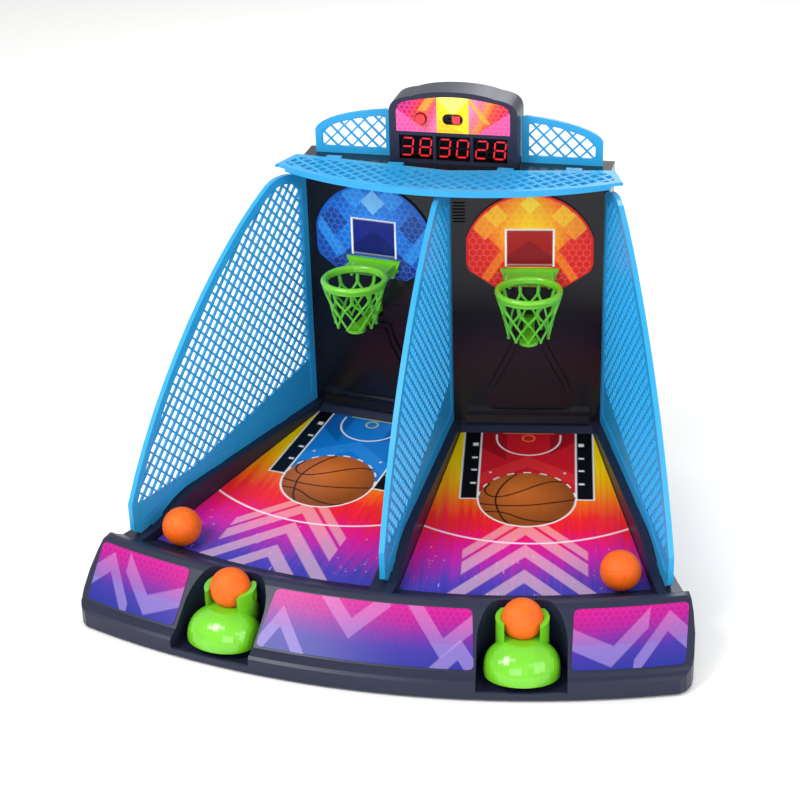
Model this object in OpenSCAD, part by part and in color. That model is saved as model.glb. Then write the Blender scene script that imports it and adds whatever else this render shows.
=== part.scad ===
// Tabletop two-player basketball hoop machine. Millimetres, +Z up, play front towards -Y.
// Two courts fan out from a folded back wall; each has a launcher, a hoop and a score paddle.

/* [Back wall and courts] */
// Length of each half of the back wall, from the middle fold outwards
wall_len = 141.5; // [139:0.5:170]
// Angle by which each half of the wall turns back from a straight line
wall_turn = 8.94; // [6:0.1:11]
// Angle of each side panel from the fore and aft direction
side_turn = 19.4; // [14:0.1:22]
// Distance of each court's centre line from the fold, along the wall
court_s = 73; // [71:0.5:75]
// Height of the top of the back casing
wall_top = 307; // [290:1:320]
// Height of the back casing's bottom edge and of the rails
rail_top = 62; // [58:1:66]
// Height of the court at its back edge and at its front edge
court_back_z = 54.5; // [50:0.5:56]
court_front_z = 38; // [36:0.5:40]
// Gap from the wall to the court board
court_back_w = 12; // [11:0.5:14]
// Thickness of the printed court boards
board_t = 1; // [0.6:0.2:1.6]
// Half width of the rails' inner faces from the panel planes
rail_in = 10.2; // [9:0.1:12]
// Reach of the rails outside the side panel planes
rail_out = 8.5; // [7:0.1:10]
// Wall thickness of the moulded casings
wall_t = 2.4; // [1.8:0.1:3]

/* [Base and console] */
// Radius of the curved front, seen from above
front_r = 708.3; // [690:1:760]
// How far behind the fold the front curve has its centre
front_c = 348.6; // [330:0.1:420]
// Half width of the console
base_half = 257; // [254:1:275]
// Back face of the casing behind the fold
body_back = 58; // [56:1:70]
// Height of the console's ridge
ridge_z = 57; // [54:1:60]
// Height of the rubber feet
foot_h = 2; // [1:0.5:4]
// Radius of the rubber feet
foot_r = 8; // [6:0.5:10]
// Thickness of the bottom cover
cover_t = 2.4; // [2:0.2:3]
// Gap left all round the bottom cover, doors and boards
fit_gap = 0.3; // [0.2:0.05:0.5]

/* [Lattice panels] */
// Length of the side panels and of the middle panel, from the wall
side_len = 276; // [260:1:280]
mid_len = 274; // [260:1:280]
// Height of the back edge of the lattice panels
panel_back_z = 289; // [280:1:292]
// Thickness of the lattice panels
panel_t = 4.6; // [3:0.2:6]
// Width of the solid border round a lattice
border = 8.5; // [6:0.5:10]
// Distance between lattice bars
pitch = 8.8; // [8:0.1:12]
// Width of a lattice bar
bar = 1.5; // [1.2:0.1:2]
// Thickness of the lattice inside its frame
lattice_t = 2.4; // [2:0.1:3]

/* [Ball and launcher] */
// Radius of a ball
ball_r = 17; // [16:0.5:17.5]
// Clearance round a ball in its seat
ball_gap = 0.3; // [0.2:0.1:0.6]
// Height of the ball's centre in the launcher
seat_z = 48.5; // [47:0.5:50]
// Distance of the launcher's ball from the wall
seat_w = 318.6; // [317:0.2:320]
// Distance of the launcher's axle from the wall, and its height
axle_w = 307; // [306:0.5:308]
axle_z = 14; // [13:0.5:15]
// Radius of the launcher's steel axle
axle_r = 1.5; // [1.2:0.1:2]
// Radial running clearance of an axle
run_gap = 0.05; // [0.03:0.01:0.08]
// Half width of the launcher's pocket
pocket_half = 36; // [35:0.5:37]
// Half width of the thumb pad
pad_half = 31; // [28:0.5:32]
// Radius of the thumb pad's rounded back, seen from the side
pad_r = 26; // [24:0.5:27]
// Height of the sill in front of the pocket
sill_z = 8; // [6:0.5:9]

/* [Hoop and net] */
// Height of the middle of the hoop's ring
hoop_z = 214.7; // [208:0.5:218]
// Distance of the hoop's centre from the wall
hoop_w = 48.5; // [46:0.5:52]
// Inner radius of the ring and radius of its rod
ring_in_r = 25; // [22:0.5:27]
rod_r = 2.7; // [2:0.1:3]
// Height of the net and its radius at the bottom
net_h = 38; // [30:1:40]
net_bottom_r = 18.5; // [18:0.5:20]
// Number of strands round the net
strands = 10; // [8:1:12]
// Radius of a strand
strand_r = 0.95; // [0.8:0.05:1.2]
// Radius of the backboard's arched top
board_r = 60; // [56:1:62]
// Thickness of the backboards
backboard_t = 2.4; // [1.6:0.2:3]

/* [Scoreboard] */
// Half width of the scoreboard's box
box_half = 58.5; // [56:0.5:62]
// Height of its top at the sides and in the middle
box_side_z = 365; // [360:1:368]
box_top_z = 376; // [372:1:380]
// Front face and back face of the scoreboard's box
box_front = 24; // [22:1:26]
box_back = 56; // [52:1:56]
// Radius of the reset button
button_r = 4.6; // [4:0.2:5]
// Radius of the visor's curved front edge
visor_r = 286; // [270:1:300]
// Depth of the visor in front of the fold
visor_front = 53; // [48:1:56]
// Thickness of the visor's plate and height of its front lip
visor_t = 3; // [2:0.2:3.4]
visor_lip = 4.5; // [3.6:0.1:5]

/* [Hidden] */
$fn = 48;

e = 0.01;                                     // overlap that joins solids of one piece
shift = ((front_r - front_c) - body_back) / 2; // brings the origin under the middle of the box
floor_z = foot_h;                             // underside of the base
cover_top = floor_z + cover_t;
slope = atan((court_back_z - court_front_z) / 250);
wall_x = wall_len * cos(wall_turn);
wall_y = wall_len * sin(wall_turn);
case_half = wall_x + 1.7;
case_back = body_back - 4;
ring_r = ring_in_r + rod_r;
visor_z = wall_top + 3.3;
navy = "#2b2d45";
blue = "#35b4ea";
lime = "#6fce3c";

// ---- places ------------------------------------------------------------------------------

module at_frame() { translate([0, shift, 0]) children(); }
module both() { for (k = [-1, 1]) on_side_of(k) children(); }
module on_side_of(k) { mirror([k < 0 ? 1 : 0, 0, 0]) children(); }
// Along a half of the wall: X runs outwards, Y runs into the wall, the front is -Y.
module on_wall(k) { on_side_of(k) rotate([0, 0, wall_turn]) children(); }
// Along a court's centre line, square to the wall.
module on_court(k) { on_wall(k) translate([court_s, 0, 0]) children(); }
// In the plane of the court, from the back edge of the printed board.
module on_board(k) {
  on_wall(k) translate([0, -court_back_w, court_back_z]) rotate([slope, 0, 0]) children();
}
// In a side panel's plane: X runs forwards from the wall, Z runs up.
module on_side(k) {
  on_side_of(k) translate([wall_x, wall_y, 0]) rotate([0, 0, side_turn - 90]) children();
}
module on_middle() { rotate([0, 0, -90]) children(); }
module upright(t) { rotate([90, 0, 0]) linear_extrude(t, center = true) children(); }

// ---- curves ------------------------------------------------------------------------------

function bezier(p, n) = [for (i = [0:n]) let (t = i / n, u = 1 - t)
  u * u * u * p[0] + 3 * u * u * t * p[1] + 3 * u * t * t * p[2] + t * t * t * p[3]];
function arc(c, r, a0, a1, n) = [for (i = [0:n])
  let (a = a0 + (a1 - a0) * i / n) [c[0] + r * cos(a), c[1] + r * sin(a)]];
function mirrored(p) = [for (i = [len(p) - 1:-1:0]) [-p[i][0], p[i][1]]];
function side_at(s, out) = [
  wall_x + s * sin(side_turn) + out * cos(side_turn),
  wall_y - s * cos(side_turn) + out * sin(side_turn)];
function front_y(x, r) = front_c - sqrt(r * r - x * x);

// Outline of the base seen from above, drawn in by t all round.
function base_half_outline(t) = concat(
  [[side_at(0, rail_out - t)[0], body_back - t], side_at(0, rail_out - t),
   side_at(240, rail_out - t)],
  bezier([side_at(250, rail_out - t), [base_half - 8 - t, -250], [base_half - t, -272],
    [base_half - t, -292]], 5),
  bezier([[base_half - t, -295], [base_half - t, -308],
    [base_half - 5 - t, front_y(base_half - 5, front_r) + t - 0.5],
    [base_half - 14 - t, front_y(base_half - 14, front_r) + t - 1]], 4),
  [[base_half - 14 - t, -420]]);
module base_outline(t) {
  h = base_half_outline(t);
  intersection() {
    polygon(concat([[0, body_back - t]], h, mirrored(h)));
    translate([0, front_c]) circle(r = front_r - t, $fn = 240);
  }
}

// Top of the console in section, from the court's edge over the ridge to the front face.
function console_line(t) = [
  [605, 36 - t], [614, 38.6 - t], [622, 41 - t], [632, 46.5 - t], [641, ridge_z - 5.5 - t],
  [645, ridge_z - 2 - t], [649, ridge_z - 0.3 - t], [653, ridge_z - 0.5 - t], [657, ridge_z - 3 - t],
  [698 - 0.7 * t, ridge_z - 36.6 - 0.7 * t], [702.5 - 0.8 * t, ridge_z - 37.8 - t],
  [front_r - 2.1 - t, ridge_z - 39.4 - t], [front_r + 1.6 - t, ridge_z - 43.4 - t]];
shoulder_r = 632;                             // where the rails' tips meet the console
module turned(points) {
  translate([0, front_c, 0]) rotate([0, 0, -90 - 26])
    rotate_extrude(angle = 52, $fn = 240) polygon(points);
}
function from_index(p, i) = [for (k = [i:len(p) - 1]) p[k]];
module console_sky() {
  turned(concat(from_index(console_line(0), 3), [[front_r + 60, ridge_z - 43.4], [front_r + 60, 90], [632, 90]]));
}
module console_cavity() {
  intersection() {
    turned(concat([[616, 0]], from_index(console_line(wall_t), 2), [[front_r + 1.6 - wall_t, 0]]));
    linear_extrude(80) base_outline(wall_t);
  }
}
module ends_rounding() {
  both() translate([0, -100, 0]) rotate([90, 0, 0]) linear_extrude(300) polygon(concat(
    [[base_half + 40, ridge_z - 15]], arc([base_half - 15, ridge_z - 15], 15, 0, 90, 9),
    [[base_half - 15, 90], [base_half + 40, 90]]));
}

// Height outline of a rail along its panel: level, then down to the front tip.
function rail_drop(t) = bezier([[190, rail_top - t], [225, rail_top - t], [236, 46.5 - t],
  [262, 46.5 - t]], 6);
module rail_sky(thick) {
  intersection() {
    upright(thick) polygon(concat(rail_drop(0), [[300, 46.5], [300, 90], [190, 90]]));
  }
}
module rail_cavity(thick) {
  upright(thick) polygon(concat([[8, 0], [8, rail_top - wall_t]], rail_drop(wall_t), [[262, 0]]));
}

// Plan of the space between the rails, seen square to the floor, drawn in by gap.
module court_plan(gap, back, edge) {
  f = front_c * cos(wall_turn);
  a = side_turn - wall_turn;
  inner0 = (rail_in + gap) / cos(wall_turn);
  outer0 = wall_len - (rail_in + gap) / cos(a);
  intersection() {
    polygon([[inner0 - back * tan(wall_turn), -back], [outer0 + back * tan(a), -back],
      [outer0 + 300 * tan(a), -300], [inner0 - 300 * tan(wall_turn), -300]]);
    translate([front_c * sin(wall_turn), f]) circle(r = edge, $fn = 240);
  }
}
// Everything above the court, between the rails.
module court_space(k) {
  intersection() {
    on_wall(k) linear_extrude(90) court_plan(0, -3, 640);
    on_wall(k) rotate([90, 0, 90]) translate([0, 0, -120]) linear_extrude(480) polygon([
      [0, rail_top], [-court_back_w, court_back_z - board_t],
      [-court_back_w - 300, court_back_z - board_t - 300 * tan(slope)], [-400, 90], [0, 90]]);
    turned(concat([[250, 0], [600, 0], [613.3, court_front_z - 3]], [for (i = [1:4]) console_line(0)[i]],
      [[641, 90], [250, 90]]));
  }
}
module court_cavity(k) {
  difference() {
    on_wall(k) linear_extrude(90) court_plan(3, court_back_w + 3, 612);
    on_board(k) translate([-250, -400, -board_t - wall_t]) cube([600, 800, 100]);
  }
}
module rear_cavity() {
  linear_extrude(rail_top - wall_t) polygon([[-wall_x - 1, wall_y + 5], [0, 3], [wall_x + 1, wall_y + 5],
    [wall_x + 1, body_back - wall_t], [-wall_x - 1, body_back - wall_t]]);
}

// ---- base --------------------------------------------------------------------------------

module pocket_plan(grow) {
  c = -axle_w - 27;
  translate([0, c]) circle(r = pocket_half + grow, $fn = 96);
  translate([-pocket_half - grow, c - 80]) square([2 * (pocket_half + grow), 80]);
}
foot_places = [[-225, -285], [225, -285], [0, -335], [-128, 35], [128, 35], [0, -120]];
screw_places = [[-205, -270], [205, -270], [-50, -300], [50, -300], [-120, 10], [120, 10],
  [0, -200], [0, -40]];
tab_s = [50, 150, 238];
tab_len = 14;
tab_h = 6;

module in_pockets() { both() rotate([0, 0, wall_turn]) translate([court_s, 0, 0]) children(); }
module hollow() {
  difference() {
    children();
    for (p = screw_places) translate([p[0], p[1], -10]) cylinder(h = 100, r = 3.6);
    in_pockets() translate([0, 0, -10]) linear_extrude(110) pocket_plan(wall_t);
  }
}
module under_shoulder() { translate([0, front_c, 0]) cylinder(h = 90, r = shoulder_r + 1, $fn = 240); }
module base_shell() color(navy) at_frame() difference() {
  translate([0, 0, floor_z]) linear_extrude(rail_top - floor_z) base_outline(0);
  // outer surfaces
  console_sky();
  ends_rounding();
  for (k = [-1, 1]) court_space(k);
  for (k = [-1, 1]) intersection() {
    on_side(k) translate([0, -5, 0]) rail_sky(2 * rail_in + 12);
    under_shoulder();
  }
  intersection() {
    on_middle() rail_sky(2 * rail_in + 2);
    under_shoulder();
  }
  // hollows underneath
  hollow() console_cavity();
  hollow() rear_cavity();
  hollow() on_middle() rail_cavity(2 * (rail_in - wall_t));
  for (k = [-1, 1]) hollow() court_cavity(k);
  for (k = [-1, 1]) hollow() on_side(k) translate([0, (rail_out - rail_in) / 2, 0])
    rail_cavity(rail_out + rail_in - 2 * wall_t);
  translate([0, 0, -5]) linear_extrude(cover_top + 5.1) base_outline(wall_t);
  // launcher pockets, open to the front above a low sill
  in_pockets() translate([0, 0, sill_z]) linear_extrude(90) pocket_plan(0);
  intersection() {
    in_pockets() linear_extrude(sill_z + 1) pocket_plan(0);
    translate([0, front_c, -1]) cylinder(h = 30, r = front_r - wall_t, $fn = 240);
  }
  for (p = screw_places) translate([p[0], p[1], 0]) cylinder(h = 24, r = screw_r - 0.25, $fn = 24);
  in_pockets() for (x = [lug_in, -lug_in - lug_t]) translate([x - 1, -axle_w - 5 - fit_gap, 0])
    cube([lug_t + 2, 10 + 2 * fit_gap, axle_z + 5 + fit_gap]);
  // slots for the panels' tabs
  for (k = [-1, 1]) on_side(k) tab_slots();
  on_middle() tab_slots();
}
module tab_slots() {
  for (s = tab_s) translate([s - fit_gap, -panel_t / 2 - fit_gap, 38])
    cube([tab_len + 2 * fit_gap, panel_t + 2 * fit_gap, 40]);
}

// The cover carries the posts that the launchers' axles turn in.
lug_in = 18.6;
lug_t = 4;
module bottom_cover() color(navy) at_frame() {
  difference() {
    union() {
      translate([0, 0, floor_z]) linear_extrude(cover_t) base_outline(wall_t + fit_gap);
      in_pockets() for (x = [lug_in, -lug_in - lug_t]) translate([x, -axle_w - 5, floor_z + 1])
        cube([lug_t, 10, axle_z + 4 - floor_z]);
    }
    in_pockets() translate([0, -axle_w, axle_z]) rotate([0, 90, 0])
      cylinder(h = 60, r = axle_r + e, center = true);
    for (p = screw_places) translate([p[0], p[1], 0]) {
      cylinder(h = 20, r = screw_r + 0.2, $fn = 24);
      translate([0, 0, floor_z - 1]) cylinder(h = 2, r = head_r + 0.3);
    }
    for (p = foot_places) translate([p[0], p[1], floor_z - e]) cylinder(h = 0.8, r = foot_r + 0.1);
  }
}
module rubber_feet() color("#1a1a1c") at_frame() for (p = foot_places)
  translate([p[0], p[1], 0]) cylinder(h = foot_h + 0.75, r = foot_r);
screw_r = 1.5;
head_r = 3;
// The thread stands for one cut in plastic, so its shank just touches the drilled hole.
module screw(len) {
  cylinder(h = len, r = screw_r - 0.27, $fn = 24);
  difference() {
    cylinder(h = 0.98, r = head_r);
    translate([-2.2, -0.35, -e]) cube([4.4, 0.7, 0.6]);
    translate([-0.35, -2.2, -e]) cube([0.7, 4.4, 0.6]);
  }
}
module cover_screws() color("#b9bcc2") at_frame() for (p = screw_places)
  translate([p[0], p[1], floor_z]) screw(12);

module court_board(k) at_frame() intersection() {
  on_wall(k) linear_extrude(90) court_plan(0.6, court_back_w, 612.5);
  on_board(k) translate([-250, -400, -board_t + 0.02]) cube([600, 398.5, board_t - 0.02]);
}

// Labels lie on the console's front slope.
label_t = 0.4;
label_hi = 657.5;
label_lo = 697;
label_turn = atan(33.6 / 41);
// Each label ends beside a pocket or near the console's end, in lines that spread forwards.
label_ends = [[67.3, 107.3], [155.6, 173.6], [247.8, 258.7]];
module label_ring(a, b) {
  intersection() {
    turned([for (p = [[label_hi, 0.05], [label_lo, 0.05], [label_lo, label_t], [label_hi, label_t]])
      [p[0] + p[1] * sin(label_turn), ridge_z - 3 - (p[0] - 657) * tan(label_turn) + p[1] * cos(label_turn)]]);
    linear_extrude(90) polygon([[a[0], -240], [b[0], -240], [b[1], -420], [a[1], -420]]);
  }
}
module console_label_left() color("#c2269c") at_frame() label_ring(-label_ends[2], -label_ends[1]);
module console_label_middle() color("#c2269c") at_frame() label_ring(-label_ends[0], label_ends[0]);
module console_label_right() color("#c2269c") at_frame() label_ring(label_ends[1], label_ends[2]);

// ---- lattice panels ----------------------------------------------------------------------

// Keeps the part of a loop on the inner side of the edge from a to b.
function side_of(p, a, b) = (b[0] - a[0]) * (p[1] - a[1]) - (b[1] - a[1]) * (p[0] - a[0]);
function clip_edge(q, a, b) = [for (i = [0:len(q) - 1])
  let (p = q[i], n = q[(i + 1) % len(q)], sp = side_of(p, a, b), sn = side_of(n, a, b))
  each concat(sp >= 0 ? [p] : [], (sp >= 0) != (sn >= 0) ? [p + (n - p) * sp / (sp - sn)] : [])];
function clip(q, c, i = 0) = i == len(c) || len(q) < 3 ? q
  : clip(clip_edge(q, c[i], c[(i + 1) % len(c)]), c, i + 1);
function loop_area(q) = len(q) < 3 ? 0 : abs([for (i = [0:len(q) - 1])
  let (p = q[i], n = q[(i + 1) % len(q)]) p[0] * n[1] - p[1] * n[0]] * [for (p = q) 1]) / 2;
// Diamond cells of a lattice, cut off at the convex outline c, given anticlockwise.
function cells(c, gap, thick) = let (
    d = gap * sqrt(2), r = (gap - thick) / sqrt(2),
    x0 = min([for (p = c) p[0]]), x1 = max([for (p = c) p[0]]),
    y0 = min([for (p = c) p[1]]), y1 = max([for (p = c) p[1]]))
  [for (i = [0:ceil((x1 - x0) / d)], j = [0:ceil(2 * (y1 - y0) / d)])
    let (x = x0 + (i + (j % 2) / 2) * d, y = y0 + j * d / 2,
      q = clip([[x + r, y], [x, y + r], [x - r, y], [x, y - r]], c))
    if (loop_area(q) > 2.5) q];
module lattice_cells(c, gap, thick) {
  for (q = cells(c, gap, thick)) polygon(q);
}

// Outline of a tall panel: s from the wall, z up. Drawn in by t.
function panel_outline(len, t) = concat(
  [[0.3 + t, rail_top + 0.3 + t * 1.35], [190, rail_top + 0.3 + t * 1.35]],
  bezier([[205, rail_top + 0.3 + t * 1.35], [232, rail_top - 1 + t * 1.3], [236, 47.2 + t * 1.4],
    [len - 8 - t * 0.4, 46.9 + t * 1.6]], 4),
  [[len - t, 53 + t]],
  bezier([[len - t, 78], [228 - t * 0.9, 175 - t * 0.5], [135 - t * 0.6, 262 - t * 0.9],
    [56 - t * 0.4, 298 - t * 0.9]], 12),
  bezier([[48, 300 - t], [36, 302 - t], [14 + t * 0.3, 298 - t], [0.3 + t, panel_back_z - t]], 5));
// The clipping outline has to be convex, so its bottom edge is one straight run and a tip.
function panel_window(len, t) = [for (p = panel_outline(len, t))
  if (!(p[0] > 192 && p[1] < 74 && p[0] < len - t - 9)) p];
ledge = 0.5;                                   // lattice shown between its frame and its cells
module tall_panel(len) {
  upright(panel_t) difference() {
    union() {
      polygon(panel_outline(len, 0));
      for (s = tab_s) translate([s, tab_z(s)]) square([tab_len, 20]);
    }
    polygon(panel_window(len, border - ledge));
  }
  upright(lattice_t) difference() {
    polygon(panel_window(len, border - 2));
    lattice_cells(panel_window(len, border), pitch, bar);
  }
}
function tab_z(s) = s > 200 ? 41 : rail_top - tab_h;
module side_panel(k) color(blue) at_frame() on_side(k) tall_panel(side_len);
module middle_panel() color(blue) at_frame() on_middle() tall_panel(mid_len);

// ---- back casing -------------------------------------------------------------------------

function case_points(t, back) = [[0, t / cos(wall_turn)], [wall_x - t * tan(wall_turn), wall_y + t],
  [case_half - t, wall_y + t + 1], [case_half - t, back], [-case_half + t, back],
  [-case_half + t, wall_y + t + 1], [-wall_x + t * tan(wall_turn), wall_y + t]];
seam_z = 172;
paddle_z = 166;
paddle_half = 5;
module hump_outline(t) {
  polygon([[-38 + t, 76 + t * 0.5], [38 - t, 76 + t * 0.5], [38 - t, 98 - t * 0.4], [17 - t * 0.7, 139 - t],
    [13 - t * 0.7, 153 - t], [-13 + t * 0.7, 153 - t], [-17 + t * 0.7, 139 - t], [-38 + t, 98 - t * 0.4]]);
}
module hump(t0, depth) {
  translate([0, 0.5, 0]) rotate([90, 0, 0]) linear_extrude(depth + 0.5) hump_outline(t0);
}
module slots_at(x0) {
  for (z = [261:3:281]) translate([x0, -4, z]) cube([11, 12, 1.3]);
}
module wall_front() color(navy) at_frame() difference() {
  union() {
    difference() {
      translate([0, 0, rail_top]) linear_extrude(wall_top - rail_top) polygon(case_points(0, case_back));
      translate([0, 0, rail_top + wall_t]) linear_extrude(wall_top - rail_top - 2 * wall_t)
        polygon(case_points(wall_t, case_back + 9));
    }
    for (k = [-1, 1]) on_court(k) {
      hump(0, 2.2);
      hump(5, 4);
      // foot of the wall, sloping down to the court
      rotate([90, 0, 90]) translate([0, 0, -court_s + rail_in + 4]) linear_extrude(wall_len - 2 * rail_in - 6)
        polygon([[0.5, rail_top], [0.5, 77], [0, 77], [-4, 73.5], [-4, 70], [-5, 70], [-6, rail_top + 0.1], [0, rail_top + 0.1]]);
      // ears of the score paddle's pin
      for (x = [-paddle_half - 3.2, paddle_half + 0.6]) translate([x, wall_t - 0.5, paddle_z - 4])
        cube([2.6, 9, 8]);
    }
    // bosses for the cover's screws
    for (p = wall_screw_places) translate([p[0], wall_y_at(p[0]) + 1, p[1]]) rotate([-90, 0, 0])
      cylinder(h = case_back - wall_y_at(p[0]) - 1, r = 3.4);
  }
  for (k = [-1, 1]) {
    on_wall(k) {
      // seam across the wall
      translate([2, -0.6, seam_z]) cube([wall_len - 4, 1.2, 1.1]);
      slots_at(4);
      // holes for the backboard's and hoop's pegs
      for (x = peg_x) translate([court_s + x, 0, peg_z]) rotate([90, 0, 0])
        cylinder(h = 20, r = peg_r + 0.1, center = true, $fn = 32);
    }
    on_court(k) {
      translate([-paddle_half - 0.6, -5, paddle_z - 7]) cube([2 * paddle_half + 1.2, 9, 12]);
      translate([0, 8, paddle_z]) rotate([0, 90, 0]) cylinder(h = 40, r = pin_r + e, center = true, $fn = 32);
    }
  }
  for (p = wall_screw_places) translate([p[0], case_back - 12, p[1]]) rotate([-90, 0, 0])
    cylinder(h = 20, r = screw_r - 0.25, $fn = 24);
  // sockets for the wings' feet
  both() for (x = wing_feet) translate([x - 5 - fit_gap, wing_y - wing_t / 2 - fit_gap, wall_top - 2.6])
    cube([10 + 2 * fit_gap, wing_t + 2 * fit_gap, 9]);
  // way for the scoreboard's wires
  translate([0, case_back - 16, wall_top - 5]) cylinder(h = 10, r = 5);
}
wall_screw_places = [[-130, 75], [130, 75], [-130, 295], [130, 295], [0, 90], [0, 230]];
function wall_y_at(x) = abs(x) * tan(wall_turn);
peg_x = [-22, 22];
peg_z = 208;
peg_r = 2;
pin_r = 1;

door_x = 60;
door_z = 100;
door_w = 66;
door_h = 58;
module wall_cover() color(navy) at_frame() difference() {
  union() {
    translate([-case_half, case_back, rail_top]) cube([2 * case_half, body_back - case_back - 1.6, wall_top - rail_top]);
    translate([-case_half + wall_t + fit_gap, case_back - 4, rail_top + wall_t + fit_gap])
      cube([2 * (case_half - wall_t - fit_gap), 5, wall_top - rail_top - 2 * (wall_t + fit_gap)]);
    // battery box
    translate([door_x - door_w / 2 - 1.6, case_back - 19, door_z - 1.6]) cube([door_w + 3.2, 20, door_h + 3.2]);
  }
  translate([-case_half + wall_t + 2.4, case_back - 30, rail_top + wall_t + 2.4]) difference() {
    cube([2 * (case_half - wall_t - 2.4), 30, wall_top - rail_top - 2 * (wall_t + 2.4)]);
    translate([door_x + case_half - wall_t - 2.4 - door_w / 2 - 1.6, 10, door_z - rail_top - wall_t - 4])
      cube([door_w + 3.2, 21, door_h + 3.2]);
  }
  // inside of the battery box, and the seat of its door
  translate([door_x - door_w / 2 + 2, case_back - 17.4, door_z + 2]) cube([door_w - 4, 40, door_h - 4]);
  translate([door_x - door_w / 2, body_back - 3.6, door_z]) cube([door_w, 10, door_h]);
  for (p = wall_screw_places) translate([p[0], 0, p[1]]) rotate([-90, 0, 0]) {
    cylinder(h = 100, r = screw_r + 0.2, $fn = 24);
    translate([0, 0, body_back - 3]) cylinder(h = 20, r = head_r + 0.3);
    translate([0, 0, -1]) cylinder(h = case_back + 1, r = 3.4 + fit_gap);
  }
  // sound holes of the speaker
  for (i = [0:5], r = [6, 12]) translate([-70, 0, 250]) rotate([0, i * 60 + r * 5, 0]) translate([r, 30, 0])
    rotate([-90, 0, 0]) cylinder(h = 40, r = 1.5, $fn = 24);
  door_screw_at() cylinder(h = 40, r = screw_r - 0.25, $fn = 24, center = true);
}
module wall_screws() color("#b9bcc2") at_frame() for (p = wall_screw_places)
  translate([p[0], body_back - 3 + 0.98, p[1]]) rotate([90, 0, 0]) screw(10);
module door_screw_at() { translate([door_x, body_back - 4, door_z + door_h - 5.2]) rotate([90, 0, 0]) children(); }
module battery_door() color(navy) at_frame() difference() {
  union() {
    translate([door_x - door_w / 2 + fit_gap, body_back - 3.6, door_z + fit_gap])
      cube([door_w - 2 * fit_gap, 2, door_h - 2 * fit_gap]);
    for (z = [door_z + 8:4:door_z + 32]) translate([door_x - 14, body_back - 1.7, z]) cube([28, 0.6, 1.4]);
  }
  door_screw_at() cylinder(h = 40, r = screw_r + 0.2, $fn = 24, center = true);
}
module battery_door_screw() color("#b9bcc2") at_frame()
  translate([0, 4 - 1.6 + 0.98, 0]) door_screw_at() screw(9);
cell_r = 7.1;
cell_pitch = 16.4;
module battery_cells() color("#c9a13a") at_frame() for (i = [-1:1])
  translate([door_x - 24.4, case_back - 9, door_z + door_h / 2 + i * cell_pitch]) rotate([0, 90, 0]) {
    cylinder(h = 48.5, r = cell_r);
    translate([0, 0, 48]) cylinder(h = 1.6, r = 2.6);
  }
module battery_contacts() color("#c8ccd0") at_frame() for (i = [-1:1], x = [-30.9, 25.4])
  translate([door_x + x, case_back - 14.5, door_z + door_h / 2 + i * cell_pitch - 5])
    cube([x < 0 ? 6.3 : 5.4, 11, 10]);
module speaker() color("#3a3a3e") at_frame() translate([-70, case_back, 250]) rotate([90, 0, 0]) {
  difference() {
    cylinder(h = 3, r = 18);
    translate([0, 0, 0.8]) cylinder(h = 5, r1 = 8, r2 = 15);
  }
  cylinder(h = 2, r = 4);
  translate([0, 0, 0.5]) cylinder(h = 1.8, r = 6);
}

// ---- hoops, boards and score paddles -----------------------------------------------------

module backboard_outline(t) {
  polygon(concat([[-32 + t, 199 + t], [32 - t, 199 + t], [55 - t, 215 + 0.5 * t], [57.5 - t, 222]],
    arc([0, 229], board_r - t, 16.6, 163.4, 24), [[-57.5 + t, 222], [-55 + t, 215 + 0.5 * t]]));
}
module backboard(k) on_court(k) difference() {
  rotate([90, 0, 0]) linear_extrude(backboard_t) backboard_outline(0);
  for (x = peg_x) translate([x, 0, peg_z]) rotate([90, 0, 0])
    cylinder(h = 20, r = peg_r + 0.1, center = true, $fn = 32);
  translate([-21, -backboard_t - 3.4, 220]) cube([42, 4, 34.6]);
}
module hoop(k) color(lime) at_frame() on_court(k) {
  w = hoop_w;
  difference() {
    union() {
      // ring
      translate([0, -w, hoop_z]) rotate_extrude($fn = 96) translate([ring_r, 0]) circle(r = rod_r, $fn = 32);
      // flat collar that the net hangs from
      translate([0, -w, hoop_z - rod_r]) cylinder(h = 2.2, r = ring_r + 1.6, $fn = 96);
      // bracket
      translate([0, -backboard_t, 0]) difference() {
        translate([-28, -3, 201]) cube([56, 3, 17]);
        for (x = [-1, 1]) translate([x * 28, -5, 218]) rotate([0, x * 22, 0])
          translate([x > 0 ? -1.2 : -8.8, -1, -20]) cube([10, 9, 40]);
      }
      translate([-21.5, -w + ring_r - 9, hoop_z - rod_r]) cube([43, w - ring_r + 9 - backboard_t - 1, 3.2]);
      for (x = [-19, 16.4]) translate([x, -backboard_t - 13, 203]) cube([2.6, 12, 11]);
      for (x = peg_x) translate([x, -backboard_t - 1, peg_z]) rotate([-90, 0, 0])
        cylinder(h = backboard_t + wall_t + 4, r = peg_r, $fn = 32);
    }
    translate([0, -w, hoop_z - 6]) cylinder(h = 12, r = ring_in_r, $fn = 96);
  }
}
// A moulded net: a flared sleeve with three rows of diamond holes and an open zigzag below.
net_rows = [0, 0.26, 0.55, 0.8, 1];
net_t = 1.6;
function net_r(t) = net_bottom_r + (ring_r + 0.4 - net_bottom_r) * pow(1 - t, 1.3);
function net_w(r) = net_r(net_rows[r]) * sin(180 / strands);
function net_z(r) = -net_rows[r] * net_h;
function sleeve(out) = [for (i = [0:6]) let (t = i / 6) [net_r(t) + out, -t * net_h]];
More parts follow.
